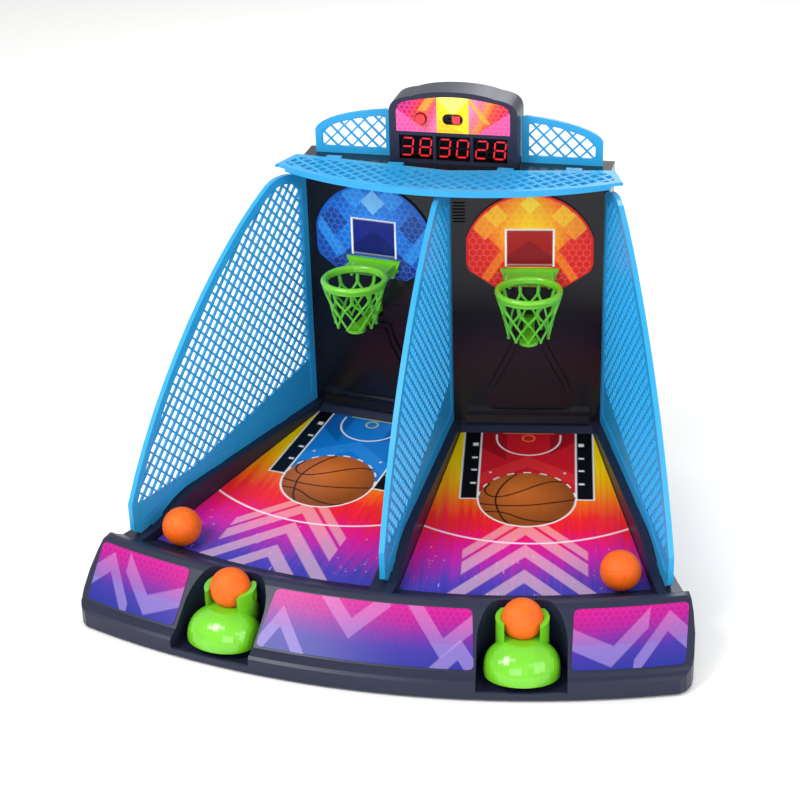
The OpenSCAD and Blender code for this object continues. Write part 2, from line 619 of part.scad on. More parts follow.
// A convex outline, given anticlockwise, drawn in by d.
function drawn_in(p, d) = [for (i = [0:len(p) - 1])
  let (a = p[(i + len(p) - 1) % len(p)], b = p[i], c = p[(i + 1) % len(p)],
    u = (b - a) / norm(b - a), v = (c - b) / norm(c - b))
  b + (v - u) * d / (u[0] * v[1] - u[1] * v[0])];
module net_hole(i, points) {
  rotate([0, 0, i * 180 / strands]) translate([8, 0, 0]) rotate([90, 0, 90]) linear_extrude(40)
    polygon(drawn_in(points, strand_r));
}
module net(k) color(lime) at_frame() on_court(k) translate([0, -hoop_w, hoop_z - rod_r - strand_r - 0.4])
  difference() {
    rotate_extrude($fn = 120) polygon(concat([[net_r(0) - net_t / 2, strand_r], [net_r(0) + net_t / 2, strand_r]],
      sleeve(net_t / 2), [for (i = [6:-1:0]) sleeve(-net_t / 2)[i]]));
    for (i = [0:strands - 1]) {
      net_hole(2 * i + 1, [[-net_w(0), 0], [0, net_z(1)], [net_w(0), 0]]);
      for (r = [1:3]) net_hole(2 * i + 1 + r,
        [[0, net_z(r - 1)], [-net_w(r), net_z(r)], [0, net_z(r + 1)], [net_w(r), net_z(r)]]);
      net_hole(2 * i, [[0, net_z(3)], [-net_w(4), net_z(4)], [-net_w(4), -net_h - 5],
        [net_w(4), -net_h - 5], [net_w(4), net_z(4)]]);
    }
  }
module score_paddle(k) color(lime) at_frame() on_court(k) difference() {
  union() {
    translate([-paddle_half, -hoop_w, paddle_z - 1.6]) cube([2 * paddle_half, hoop_w + 8, 2.8]);
    translate([0, -hoop_w, paddle_z - 1.6]) cylinder(h = 2.8, r = 8.4);
    translate([-1, -hoop_w + 4, paddle_z - 3.6]) cube([2, hoop_w - 12, 2.2]);
    translate([-paddle_half, 8, paddle_z]) rotate([0, 90, 0]) cylinder(h = 2 * paddle_half, r = 3);
    translate([-3, 8, paddle_z - 1]) cube([6, 14, 2]);
  }
  translate([0, 8, paddle_z]) rotate([0, 90, 0]) cylinder(h = 40, r = pin_r + run_gap, center = true, $fn = 32);
}
module paddle_pins() color("#b9bcc2") at_frame() for (k = [-1, 1]) on_court(k)
  translate([0, 8, paddle_z]) rotate([0, 90, 0]) cylinder(h = 2 * paddle_half + 6.2, r = pin_r, center = true, $fn = 32);
module score_switches() color("#26262a") at_frame() for (k = [-1, 1]) on_court(k) {
  translate([-5, 16.5, paddle_z + 4.6]) cube([10, 6, 6]);
  translate([-1.2, 18.5, paddle_z + 3.2]) cube([2.4, 2.4, 1.5]);
  translate([-3, wall_t + fit_gap, paddle_z + 8]) cube([6, 15, 2]);
}

// ---- launchers and balls -----------------------------------------------------------------

module at_seat(k) on_court(k) translate([0, -seat_w, seat_z]) children();
seat_r = 21.5;
hub_r = 4.2;
pad_w = 334;
pad_z = 12;
module pad_body(t) {
  n = 20;
  translate([0, -pad_w, pad_z]) rotate([0, 90, 0]) rotate_extrude($fn = 96) polygon(concat(
    [[0, -pad_half + t]],
    [for (i = [1:n - 1]) let (a = -90 + 180 * i / n) [(pad_r - t) * pow(cos(a), 0.8), (pad_half - t) * sin(a)]],
    [[0, pad_half - t]]));
}
module launcher(k) color(lime) at_frame() on_court(k) difference() {
  union() {
    difference() {
      pad_body(0);
      difference() {
        pad_body(2.2);
        translate([-60, -pad_w + 5, 0]) cube([120, 60, 80]);
      }
      translate([-60, -400, -20]) cube([120, 200, 31]);
      translate([-60, -axle_w - 9, -20]) cube([120, 100, 100]);
    }
    // seat
    intersection() {
      translate([0, -seat_w, 22]) cylinder(h = seat_z + 2 - 22, r = seat_r);
      translate([-30, -seat_w - 30, 20]) cube([60, 43, 60]);
    }
    // arm to the hub
    for (x = [-17.5, 11.5]) translate([x, -axle_w - 20, axle_z - 1]) cube([6, 20, 18]);
    translate([-17.5, -axle_w, axle_z]) rotate([0, 90, 0]) cylinder(h = 35, r = hub_r);
    translate([-17.5, -axle_w - 1, axle_z]) cube([35, 4.2, 14]);
  }
  at_seat_local() sphere(r = ball_r + ball_gap, $fn = 96);
  at_seat_local() translate([-14, -60, -11.5]) cube([28, 120, 60]);
  at_seat_local() translate([0, 2, -4]) rotate([0, 90, 0]) cylinder(h = 60, r = 4.4, center = true, $fn = 48);
  translate([-60, -axle_w + 5.2, -20]) cube([120, 100, 100]);
  translate([0, -axle_w, axle_z]) rotate([0, 90, 0]) cylinder(h = 60, r = axle_r + run_gap, center = true);
  translate([-5.4, -axle_w - 7, axle_z - 8]) cube([10.8, 20, 15.2]);
}
module at_seat_local() translate([0, -seat_w, seat_z]) children();
module launcher_axles() color("#b9bcc2") at_frame() for (k = [-1, 1]) on_court(k)
  translate([0, -axle_w, axle_z]) rotate([0, 90, 0]) cylinder(h = 2 * (lug_in + lug_t), r = axle_r, center = true);
module launcher_springs() color("#b9bcc2") at_frame() for (k = [-1, 1]) on_court(k)
  translate([0, -axle_w, axle_z]) rotate([0, 90, 0]) {
    for (i = [-3:3]) translate([0, 0, i * 1.15]) rotate_extrude() translate([2.9, 0]) circle(r = 0.6, $fn = 16);
    translate([2.9, 0, 3.45]) rotate([90, 0, 0]) cylinder(h = 5.6, r = 0.6, $fn = 16);
    translate([0, 2.9, -3.45]) rotate([0, 90, 0]) cylinder(h = axle_z - cover_top, r = 0.6, $fn = 16);
  }
module ball() {
  sphere(r = ball_r, $fn = 64);
}
module ball_launcher(k) color("#f5842a") at_frame() at_seat(k) ball();
court_ball_w = 254;
court_ball_v = 79;
module ball_court(k) color("#f5842a") at_frame() on_board(k)
  translate([court_s + court_ball_v, -court_ball_w + court_back_w, ball_r + 0.15]) ball();

// ---- visor, wings and scoreboard ---------------------------------------------------------

visor_half = 157;
top_pitch = 9.2;                               // lattice pitch of the visor and the wings
function visor_front_y(x, t) = visor_r - visor_front - sqrt(pow(visor_r - t, 2) - x * x);
function visor_half_outline(t) = concat(
  [for (i = [0:10]) let (x = (visor_half - 2 - t) * i / 10) [x, visor_front_y(x, t)]],
  [[visor_half - t, -9 + t * 0.3], [146 - t, 22 - t]],
  [[136 - t, wall_y_at(136) - 0.6 - t], [0, -0.6 - t]]);
module visor_plan(t) {
  h = visor_half_outline(t);
  for (k = [0, 1]) mirror([k, 0, 0]) polygon(concat([[-e, visor_front_y(0, t)]], h, [[-e, -0.6 - t]]));
}
visor_window = concat([[0, -7.5]],
  [for (x = [0, 40, 80, 115, 144]) [x, visor_front_y(x, 5.5)]],
  [[149, -2], [141, 14], [135, wall_y_at(135) - 7.5]]);
module visor() color(blue) at_frame() translate([0, 0, visor_z]) {
  difference() {
    union() {
      translate([0, 0, -visor_t]) linear_extrude(visor_t) visor_plan(0);
      translate([0, 0, -visor_lip - 1]) linear_extrude(visor_lip + 1) difference() {
        visor_plan(0);
        visor_plan(2.2);
        translate([-200, -12]) square([400, 100]);
      }
    }
    for (k = [0, 1]) mirror([k, 0, 0]) translate([0, 0, -10]) linear_extrude(20)
      lattice_cells(visor_window, top_pitch, 2.6);
  }
  // tongues that hook over the casing
  for (x = [-110, -50, 50, 110]) translate([x - 7, wall_y_at(x) - 3, -visor_t])
    cube([14, 9, visor_t]);
}

wing_in = 59.2;
wing_out = 132.5;
wing_y = 42;
wing_t = 3.4;
wing_border = 6.8;
wing_feet = [75, 115];
function wing_points(t) = concat(
  [[wing_in + t, wall_top + t * 0.95], [wing_out - t, wall_top + t * 0.95], [wing_out - t, 325]],
  bezier([[wing_out - t, 329 - t * 0.5], [129 - t * 0.6, 339 - t], [100, 347.5 - t], [64 + t, 350.6 - t]], 8),
  [[wing_in + t, 349 - t]]);
module wing(k) color(blue) at_frame() on_side_of(k) translate([0, wing_y, 0]) {
  upright(wing_t) difference() {
    union() {
      polygon(wing_points(0));
      for (x = wing_feet) translate([x - 5, wall_top - 2.2]) square([10, 3]);
    }
    polygon(wing_points(wing_border - ledge));
  }
  upright(lattice_t) difference() {
    polygon(wing_points(wing_border - 2));
    lattice_cells(wing_points(wing_border), top_pitch, bar);
  }
}

function box_outline(t) = concat(
  [[-box_half + t, wall_top + t], [box_half - t, wall_top + t]],
  bezier([[box_half - t, box_side_z - 12], [box_half - t, box_side_z - 2 - t],
    [box_half - 6 - t, box_side_z + 1.5 - t], [box_half - 18, box_side_z + 3.6 - t]], 9),
  bezier([[box_half - 21, box_side_z + 4.1 - t], [20, box_top_z - 0.2 - t], [-20, box_top_z - 0.2 - t],
    [21 - box_half, box_side_z + 4.1 - t]], 16),
  bezier([[-box_half + 18, box_side_z + 3.6 - t], [-box_half + 6 + t, box_side_z + 1.5 - t],
    [-box_half + t, box_side_z - 2 - t], [-box_half + t, box_side_z - 12]], 9));
window_lo = 310;
window_hi = 333;
window_x = [-34, 0, 34];
window_half = 15.5;
split_y = box_back - 10;
button_x = -29;
button_z = 349;
module box_slab(y0, y1, t) { translate([0, y1, 0]) rotate([90, 0, 0]) linear_extrude(y1 - y0) polygon(box_outline(t)); }
module scoreboard_front() color(navy) at_frame() difference() {
  box_slab(box_front, split_y, 0);
  box_slab(box_front + 2.2, split_y + 1, 2.2);
  // recess of the label, with its arched top
  translate([0, box_front + 0.5, 0]) rotate([90, 0, 0]) linear_extrude(5) label_outline(-0.15);
  for (x = window_x) translate([x - window_half, box_front - 5, window_lo]) cube([2 * window_half, 20, window_hi - window_lo]);
  translate([button_x, 0, button_z]) rotate([-90, 0, 0]) cylinder(h = 40, r = button_r + 0.3);
  translate([-7.5, 0, button_z - 4]) cube([15, 40, 8]);
  translate([0, 35, wall_top - 5]) cylinder(h = 10, r = 5);
}
module scoreboard_back() color(navy) at_frame() difference() {
  union() {
    box_slab(split_y, box_back, 0);
    box_slab(split_y - 3, split_y + 1, 2.2 + fit_gap);
  }
  box_slab(split_y - 10, box_back - 2.2, 4.6);
}
function label_points(t) = concat([[-52 + t, 336 + t], [52 - t, 336 + t]],
  bezier([[52 - t, 355], [52 - t, 362 - t], [48 - t, 363.5 - t], [40, 365.5 - t]], 4),
  bezier([[16, 369 - t], [8, 370 - t], [-8, 370 - t], [-16, 369 - t]], 4),
  bezier([[-40, 365.5 - t], [-48 + t, 363.5 - t], [-52 + t, 362 - t], [-52 + t, 355]], 4));
module label_outline(t) { polygon(label_points(t)); }
module scoreboard_label() color("#d22f8e") at_frame() difference() {
  translate([0, box_front + 0.45, 0]) rotate([90, 0, 0]) linear_extrude(0.4) label_outline(0.1);
  translate([button_x, 0, button_z]) rotate([-90, 0, 0]) cylinder(h = 40, r = button_r + 0.3);
  translate([-7.5, 0, button_z - 4]) cube([15, 40, 8]);
}
module display_window() color("#180405") at_frame()
  translate([-51, box_front + 2.25, window_lo - 0.8]) cube([102, 1.2, window_hi - window_lo + 1.6]);
board_y = box_front + 9;
module digit_modules() color("#141416") at_frame() for (x = window_x)
  translate([x - 14, box_front + 3.6, window_lo + 0.5]) cube([28, board_y - box_front - 3.65, window_hi - window_lo - 1]);
module display_board() color("#1f6b3a") at_frame() {
  translate([-52, board_y, wall_top + 3]) cube([104, 1.6, 48]);
  for (x = [-51, 46]) translate([x, board_y + 1.5, 320]) cube([5, box_back - 2.2 - board_y - 1.5 - fit_gap, 5]);
}
button_travel = 1;
module reset_button() color("#e02a2a") at_frame() translate([button_x, 0, button_z]) rotate([-90, 0, 0]) {
  translate([0, 0, box_front - 2.6]) cylinder(h = 5.6, r = button_r);
  translate([0, 0, box_front + 2.5]) cylinder(h = 1, r = button_r + 1.4);
  translate([0, 0, box_front + 3]) cylinder(h = 1.6, r = 2);
}
module reset_switch() color("#26262a") at_frame() translate([button_x, 0, button_z]) rotate([-90, 0, 0]) {
  y = box_front + 4.6 + button_travel + 0.1;
  translate([0, 0, y]) cylinder(h = 1.2, r = 1.7);
  translate([-3, -3, y + 1]) cube([6, 6, board_y - y - 1.02]);
}
slider_travel = 6;
module power_slider() color("#e02a2a") at_frame() {
  translate([0.8, box_front - 1.8, button_z - 3.6]) cube([6.2, 4.6, 7.2]);
  translate([-1.2, box_front + 2.5, button_z - 5]) cube([9.4, 1.2, 10]);
  translate([2.4, box_front + 3.5, button_z - 1.2]) cube([2.4, 2, 2.4]);
}
module power_switch() color("#26262a") at_frame() difference() {
  translate([-8, box_front + 4.1, button_z - 4]) cube([16, board_y - box_front - 4.12, 8]);
  translate([-5.4, box_front + 3, button_z - 2]) cube([11.4, 3.5, 4]);
}

base_shell();
bottom_cover();
rubber_feet();
cover_screws();
color("#1b74c9") court_board(-1);  // court_board_left
color("#d8202c") court_board(1);  // court_board_right
console_label_left();
console_label_middle();
console_label_right();
side_panel(-1);  // side_panel_left
side_panel(1);  // side_panel_right
middle_panel();
wall_front();
wall_cover();
wall_screws();
color("#2266cc") at_frame() backboard(-1);  // backboard_left
color("#f2762a") at_frame() backboard(1);  // backboard_right
hoop(-1);  // hoop_left
hoop(1);  // hoop_right
net(-1);  // net_left
net(1);  // net_right
score_paddle(-1);  // score_paddle_left
score_paddle(1);  // score_paddle_right
paddle_pins();
score_switches();
launcher(-1);  // launcher_left
launcher(1);  // launcher_right
launcher_axles();
launcher_springs();
ball_launcher(-1);  // ball_launcher_left
ball_launcher(1);  // ball_launcher_right
ball_court(-1);  // ball_court_left
ball_court(1);  // ball_court_right
visor();
wing(-1);  // wing_left
wing(1);  // wing_right
scoreboard_front();
scoreboard_back();
scoreboard_label();
display_window();
display_board();
digit_modules();
reset_button();
reset_switch();
power_switch();
power_slider();
speaker();
battery_cells();
battery_contacts();
battery_door();
battery_door_screw();
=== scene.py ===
# %% [markdown]
# A tabletop basketball machine for two players: two fanned courts between sky-blue
# lattice panels, a navy back casing with hoops, and a lit scoreboard on top. The CAD
# model gives every moulding its place, and this lesson gives each one its finish,
# its printed artwork, and the soft and fine pieces that CAD only stands in for.

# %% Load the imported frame
import math
import bpy
import numpy as np
from mathutils import Euler, Matrix, Vector


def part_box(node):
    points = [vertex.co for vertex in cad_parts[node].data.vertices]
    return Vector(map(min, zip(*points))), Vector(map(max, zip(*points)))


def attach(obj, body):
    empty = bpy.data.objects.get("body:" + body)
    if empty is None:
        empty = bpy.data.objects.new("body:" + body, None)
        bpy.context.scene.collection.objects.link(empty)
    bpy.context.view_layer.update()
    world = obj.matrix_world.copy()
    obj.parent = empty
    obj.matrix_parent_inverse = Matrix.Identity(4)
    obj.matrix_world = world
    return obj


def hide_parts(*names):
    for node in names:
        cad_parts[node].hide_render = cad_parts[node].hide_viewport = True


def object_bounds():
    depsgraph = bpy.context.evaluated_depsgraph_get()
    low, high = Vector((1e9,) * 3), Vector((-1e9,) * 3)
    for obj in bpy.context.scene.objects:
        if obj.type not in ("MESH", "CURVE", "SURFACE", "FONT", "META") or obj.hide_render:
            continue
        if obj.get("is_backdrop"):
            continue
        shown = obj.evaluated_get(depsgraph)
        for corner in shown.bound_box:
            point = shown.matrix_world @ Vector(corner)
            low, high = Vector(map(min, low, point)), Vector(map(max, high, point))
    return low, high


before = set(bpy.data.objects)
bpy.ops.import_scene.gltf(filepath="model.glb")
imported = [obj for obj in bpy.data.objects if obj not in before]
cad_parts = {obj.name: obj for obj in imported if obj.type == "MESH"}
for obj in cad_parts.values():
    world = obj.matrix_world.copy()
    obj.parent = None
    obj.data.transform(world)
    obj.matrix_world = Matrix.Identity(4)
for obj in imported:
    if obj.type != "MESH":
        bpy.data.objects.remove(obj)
cad_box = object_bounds()

# %% [markdown]
# The sizes that the printed pieces need, in millimetres as the moulds were drawn.
# Every piece in the scene is in metres, so one factor turns one into the other.

# %% Sizes shared with the mouldings
MM = 0.001
TURN = math.radians(8.94)          # each half of the back wall is turned by this much
SIDE = math.radians(19.4 - 8.94)   # a side panel seen from its own court
COURT_S = 73.0                     # court centre line, along the wall
SHIFT = 150.85                     # from the fold in the wall to the middle of the box
COURT_Z, COURT_DROP = 54.5, 16.5 / 250
FRONT_C = 348.6                    # centre of the curved front, behind the fold


def court_xyz(side, v, w, z):
    """Across a court (outwards), out from the wall and up, to the shared frame in metres."""
    s = COURT_S + v
    x = side * (s * math.cos(TURN) + w * math.sin(TURN))
    y = s * math.sin(TURN) - w * math.cos(TURN) + SHIFT
    return np.stack([x * MM, y * MM, z * MM + 0 * x], axis=-1)


SIDES = {"left": -1, "right": 1}

# %% [markdown]
# The machine is seen from a little above and to its right, with a long lens from a
# metre and a half away, so the courts fan out gently towards the viewer.

# %% Camera
STAND = (0.3361, -1.37345, 0.8633)
yaw, pitch, roll = math.radians(14.21), math.radians(26.54), math.radians(-1.75)
forward = Vector((-math.sin(yaw) * math.cos(pitch),
                  math.cos(yaw) * math.cos(pitch), -math.sin(pitch)))
right = Vector((math.cos(yaw), math.sin(yaw), 0))
up = right.cross(forward)
cam_right = math.cos(roll) * right + math.sin(roll) * up
cam_up = -math.sin(roll) * right + math.cos(roll) * up
bpy.ops.object.camera_add(location=STAND)
camera = bpy.context.object
camera.name = "camera"
camera.matrix_world = Matrix((
    (cam_right.x, cam_up.x, -forward.x, STAND[0]),
    (cam_right.y, cam_up.y, -forward.y, STAND[1]),
    (cam_right.z, cam_up.z, -forward.z, STAND[2]),
    (0, 0, 0, 1)))
camera.data.sensor_width = 36
camera.data.lens = 83.4
bpy.context.scene.camera = camera

# %% [markdown]
# A product photographer's white sweep: one broad floor, a large soft key light from
# the upper left, a weaker fill from the right, and a strip behind for the rims.

# %% Floor and lights
bpy.ops.mesh.primitive_grid_add(x_subdivisions=24, y_subdivisions=24, size=9, location=(0, 0, 0))
floor = bpy.context.object
floor.name = "floor"
floor.data.transform(Matrix.Translation((0, 0, -0.0002)))
floor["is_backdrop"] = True


def area_light(name, place, target, size, power, colour=(1, 1, 1)):
    bpy.ops.object.light_add(type="AREA", location=place)
    light = bpy.context.object
    light.name = name
    light.rotation_euler = (Vector(target) - Vector(place)).to_track_quat("-Z", "Y").to_euler()
    light.data.size = size
    light.data.energy = power
    light.data.color = colour
    return light


area_light("key", (-1.1, -1.3, 1.9), (0, 0, 0.1), 1.0, 36)
area_light("fill", (1.6, -1.2, 1.1), (0, 0, 0.15), 1.3, 14)
area_light("strip", (0.2, 1.5, 1.4), (0, 0, 0.25), 0.9, 16)
area_light("front", (0.1, -2.0, 0.7), (0, 0, 0.1), 0.8, 7)
world = bpy.data.worlds.new("studio")
bpy.context.scene.world = world
world.use_nodes = True
world.node_tree.nodes["Background"].inputs["Color"].default_value = (1, 1, 1, 1)
world.node_tree.nodes["Background"].inputs["Strength"].default_value = 0.72
bpy.context.scene.view_settings.view_transform = "Standard"

# %% [markdown]
# Two small helpers serve every material: one reads a colour as it is written on a
# paint card, the other adds a node, sets it and wires it in one line.

# %% Colour and node helpers
def srgb(text, alpha=True):
    values = [int(text[i:i + 2], 16) / 255 for i in (1, 3, 5)]
    linear = [c / 12.92 if c <= 0.04045 else ((c + 0.055) / 1.055) ** 2.4 for c in values]
    return tuple(linear + [1.0]) if alpha else tuple(linear)


def add(tree, kind, settings=(), **links):
    node = tree.nodes.new(kind)
    for key, value in dict(settings).items():
        setattr(node, key, value)
    for key, value in links.items():
        socket = node.inputs[key.replace("_", " ")]
        if isinstance(value, bpy.types.NodeSocket):
            tree.links.new(value, socket)
        else:
            socket.default_value = value
    return node


def new_material(name, colour, roughness, **sockets):
    material = bpy.data.materials.new(name)
    material.use_nodes = True
    shader = material.node_tree.nodes["Principled BSDF"]
    shader.inputs["Base Color"].default_value = srgb(colour)
    shader.inputs["Roughness"].default_value = roughness
    for key, value in sockets.items():
        shader.inputs[key.replace("_", " ")].default_value = value
    material.diffuse_color = srgb(colour)
    return material, material.node_tree, shader


def ramp(tree, factor, stops):
    node = add(tree, "ShaderNodeValToRGB")
    tree.links.new(factor, node.inputs["Fac"])
    elements = node.color_ramp.elements
    while len(elements) < len(stops):
        elements.new(0.5)
    for element, (place, colour) in zip(elements, stops):
        element.position = place
        element.color = colour
    return node.outputs["Color"]


def grey(value):
    return (value, value, value, 1)


def tinted(tree, shader, colour, factor, low, high):
    """Varies a base colour a little, as moulded plastic and dust do."""
    r, g, b, _ = srgb(colour)
    colours = [(place, (r * k, g * k, b * k, 1)) for place, k in ((0.3, low), (0.7, high))]
    tree.links.new(ramp(tree, factor, colours), shader.inputs["Base Color"])


def bumped(tree, shader, height, strength, distance):
    node = add(tree, "ShaderNodeBump", Strength=strength, Distance=distance, Height=height)
    tree.links.new(node.outputs["Normal"], shader.inputs["Normal"])


# %% [markdown]
# The casing is ABS from a spark-eroded mould: a fine leathery grain that spreads the
# highlights, slightly smoother where hands rub it, and a faint mottle in the navy. The
# wall behind the hoops comes from a smoother mould and is nearly black.

# %% Navy ABS
def moulded(name, colour, roughness, grain, depth, mottle=0.06, **sockets):
    material, tree, shader = new_material(name, colour, roughness, **sockets)
    where = add(tree, "ShaderNodeTexCoord").outputs["Object"]
    cloud = add(tree, "ShaderNodeTexNoise", Vector=where, Scale=9.0, Detail=4.0).outputs["Fac"]
    tinted(tree, shader, colour, cloud, 1 - mottle, 1 + mottle)
    worn = ramp(tree, cloud, [(0.35, grey(roughness * 0.88)), (0.7, grey(min(1, roughness * 1.12)))])
    tree.links.new(worn, shader.inputs["Roughness"])
    pits = add(tree, "ShaderNodeTexNoise", Vector=where, Scale=grain, Detail=3.0).outputs["Fac"]
    bumped(tree, shader, pits, 0.5, depth)
    return material


navy_abs = moulded("ABS, injection moulded, spark-eroded grain", "#20243a", 0.36, 1500, 0.00006,
                   Specular_IOR_Level=0.32)
wall_abs = moulded("ABS, injection moulded, polished wall", "#11121a", 0.2, 900, 0.00003,
                   Specular_IOR_Level=0.3)

# %% [markdown]
# The lattice panels and the visor are polypropylene: slightly waxy, so light spreads
# under the skin, with flow marks that follow the long bars.

# %% Sky-blue polypropylene
blue_pp = moulded("Polypropylene, moulded lattice", "#2b9ed6", 0.34, 420, 0.00004, 0.05,
                  Specular_IOR_Level=0.35, Subsurface_Weight=0.06, Subsurface_Scale=0.003)

# %% [markdown]
# Launchers and hoops are glossy ABS from a polished mould: almost no grain, only the
# long shallow sink marks that make its small highlights swim.

# %% Lime ABS and red ABS
def polished(name, colour, roughness=0.16):
    material, tree, shader = new_material(name, colour, roughness, Coat_Weight=0.35, Coat_Roughness=0.08)
    where = add(tree, "ShaderNodeTexCoord").outputs["Object"]
    sink = add(tree, "ShaderNodeTexNoise", Vector=where, Scale=55.0, Detail=1.0).outputs["Fac"]
    tinted(tree, shader, colour, sink, 0.94, 1.06)
    bumped(tree, shader, sink, 0.25, 0.0004)
    return material


lime_abs = polished("ABS, polished mould, lime", "#6cc420")
red_abs = polished("ABS, polished mould, red", "#e3202c", 0.22)
lime_net = moulded("PVC, soft moulded net", "#58b828", 0.38, 300, 0.00008, 0.08,
                   Subsurface_Weight=0.1, Subsurface_Scale=0.002)

# %% [markdown]
# Rubber, bare metal, card and circuit board fill the underside and the inside. Each
# is plain, but none of them is one flat colour in the hand.

# %% Inner materials
foot_rubber = moulded("Rubber, moulded foot", "#1b1b1d", 0.78, 700, 0.0001)
black_abs = moulded("ABS, black, sawn-tooth grain", "#151518", 0.5, 900, 0.00006)
speaker_card = moulded("Paper cone, pressed and dyed", "#2b2b30", 0.9, 260, 0.0003, 0.15)


def metal(name, colour, roughness, stretch):
    material, tree, shader = new_material(name, colour, roughness, Metallic=1.0)
    where = add(tree, "ShaderNodeTexCoord").outputs["Object"]
    brushed = add(tree, "ShaderNodeMapping", Vector=where, Scale=stretch).outputs["Vector"]
    scratch = add(tree, "ShaderNodeTexNoise", Vector=brushed, Scale=900.0, Detail=3.0).outputs["Fac"]
    tree.links.new(ramp(tree, scratch, [(0.3, grey(roughness * 0.7)), (0.7, grey(roughness * 1.4))]),
                   shader.inputs["Roughness"])
    bumped(tree, shader, scratch, 0.3, 0.00003)
    return material


steel = metal("Steel, zinc plated screw", "#c4c7cc", 0.24, (1, 1, 0.1))
plated = metal("Steel, nickel plated contact", "#cfd2d6", 0.3, (0.1, 1, 1))
cell_film = metal("Printed film on a penlight cell", "#b98d2c", 0.32, (0.1, 1, 1))
solder_mask = moulded("Glass-epoxy board, solder mask", "#1c6a3b", 0.35, 500, 0.0001, 0.1)
board_card = moulded("Card under the court print", "#20233a", 0.5, 500, 0.00005)
smoked = new_material("Acrylic, smoked lens", "#030202", 0.12, Specular_IOR_Level=0.2)[0]

# %% [markdown]
# The CAD pieces keep their shapes and take these finishes. One table says which
# moulding is made of what, so that nothing visible is left in its plain CAD colour.

# %% Finish of each CAD node
FINISH = {
    navy_abs: ["base_shell", "bottom_cover", "wall_cover", "scoreboard_front", "scoreboard_back",
               "battery_door"],
    wall_abs: ["wall_front"],
    blue_pp: ["side_panel_left", "side_panel_right", "middle_panel", "visor", "wing_left", "wing_right"],
    lime_abs: ["hoop_left", "hoop_right", "launcher_left", "launcher_right",
               "score_paddle_left", "score_paddle_right"],
    red_abs: ["reset_button", "power_slider"],
    foot_rubber: ["rubber_feet"],
    steel: ["cover_screws", "wall_screws", "battery_door_screw", "paddle_pins", "launcher_axles",
            "launcher_springs"],
    plated: ["battery_contacts"],
    black_abs: ["digit_modules", "power_switch", "reset_switch", "score_switches"],
    speaker_card: ["speaker"],
    cell_film: ["battery_cells"],
    solder_mask: ["display_board"],
    smoked: ["display_window"],
    board_card: ["court_board_left", "court_board_right", "backboard_left", "backboard_right"],
}
for material, nodes in FINISH.items():
    for node in nodes:
        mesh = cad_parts[node].data
        mesh.materials.clear()
        mesh.materials.append(material)
print("finished nodes", sum(len(nodes) for nodes in FINISH.values()))

# %% [markdown]
# All the artwork is screen-printed film with a gloss varnish. Each film is a fine grid
# whose points carry the ink's colour, so the drawing is made once in millimetres on
# the flat sheet and then lies wherever the sheet is laid. These are the pens: each
# takes a signed distance, negative inside the shape, and inks what lies inside.

# %% Pens for the printed artwork
def ink(rgb, colour, distance, opacity=1.0, soft=0.35):
    cover = np.clip(0.5 - distance / (2 * soft), 0, 1) * opacity
    colour = np.array(srgb(colour, False)) if isinstance(colour, str) else colour
    rgb[:] = rgb * (1 - cover[:, None]) + colour * cover[:, None]


def stops(value, table):
    places = [place for place, _ in table]
    colours = np.array([srgb(text, False) for _, text in table])
    return np.stack([np.interp(value, places, colours[:, i]) for i in range(3)], axis=-1)


def box_d(x, y, x0, x1, y0, y1):
    across = np.abs(x - (x0 + x1) / 2) - (x1 - x0) / 2
    along = np.abs(y - (y0 + y1) / 2) - (y1 - y0) / 2
    return np.maximum(across, along)


def ring_d(x, y, cx, cy, radius, width):
    return np.abs(np.hypot(x - cx, y - cy) - radius) - width / 2


def path_d(x, y, points, width):
    """Distance to a pen stroke through the points."""
    best = np.full(x.shape, 1e9)
    for (ax, ay), (bx, by) in zip(points, points[1:]):
        along = ((x - ax) * (bx - ax) + (y - ay) * (by - ay)) / ((bx - ax) ** 2 + (by - ay) ** 2)
        along = np.clip(along, 0, 1)
        best = np.minimum(best, np.hypot(x - ax - along * (bx - ax), y - ay - along * (by - ay)))
    return best - width / 2


def rounded(points, steps=6):
    """A Catmull-Rom curve through the points, as a draughtsman's spline would run."""
    p = [points[0]] + list(points) + [points[-1]]
    out = []
    for a, b, c, d in zip(p, p[1:], p[2:], p[3:]):
        for i in range(steps):
            t = i / steps
            out.append(tuple(0.5 * (2 * b[k] + (c[k] - a[k]) * t
                                    + (2 * a[k] - 5 * b[k] + 4 * c[k] - d[k]) * t * t
                                    + (3 * b[k] - a[k] - 3 * c[k] + d[k]) * t ** 3) for k in (0, 1)))
    return out + [points[-1]]


def grainy(x, y):
    """Smooth value noise from 0 to 1, the same on every run."""
    cell_x, cell_y = np.floor(x), np.floor(y)
    fx, fy = x - cell_x, y - cell_y
    fx, fy = fx * fx * (3 - 2 * fx), fy * fy * (3 - 2 * fy)

    def corner(i, j):
        value = np.sin((cell_x + i) * 127.1 + (cell_y + j) * 311.7) * 43758.5453
        return value - np.floor(value)
    top = corner(0, 0) * (1 - fx) + corner(1, 0) * fx
    low = corner(0, 1) * (1 - fx) + corner(1, 1) * fx
    return top * (1 - fy) + low * fy


def hex_d(x, y, size, width):
    """Outlines of a honeycomb whose cells are size across."""
    px, py = x / size, y / size
    root = math.sqrt(3)
    ax, ay = np.mod(px, 1) - 0.5, np.mod(py, root) - root / 2
    bx, by = np.mod(px - 0.5, 1) - 0.5, np.mod(py - root / 2, root) - root / 2
    nearer = ax * ax + ay * ay < bx * bx + by * by
    gx, gy = np.where(nearer, ax, bx), np.where(nearer, ay, by)
    edge = np.maximum(np.abs(gx), np.abs(gx) * 0.5 + np.abs(gy) * root / 2)
    return (0.5 - edge) * size - width / 2


# %% [markdown]
# The varnish over the ink is clear and glossy, with the slight orange peel of a
# silk screen. The ink itself is read from the sheet's own colour layer.

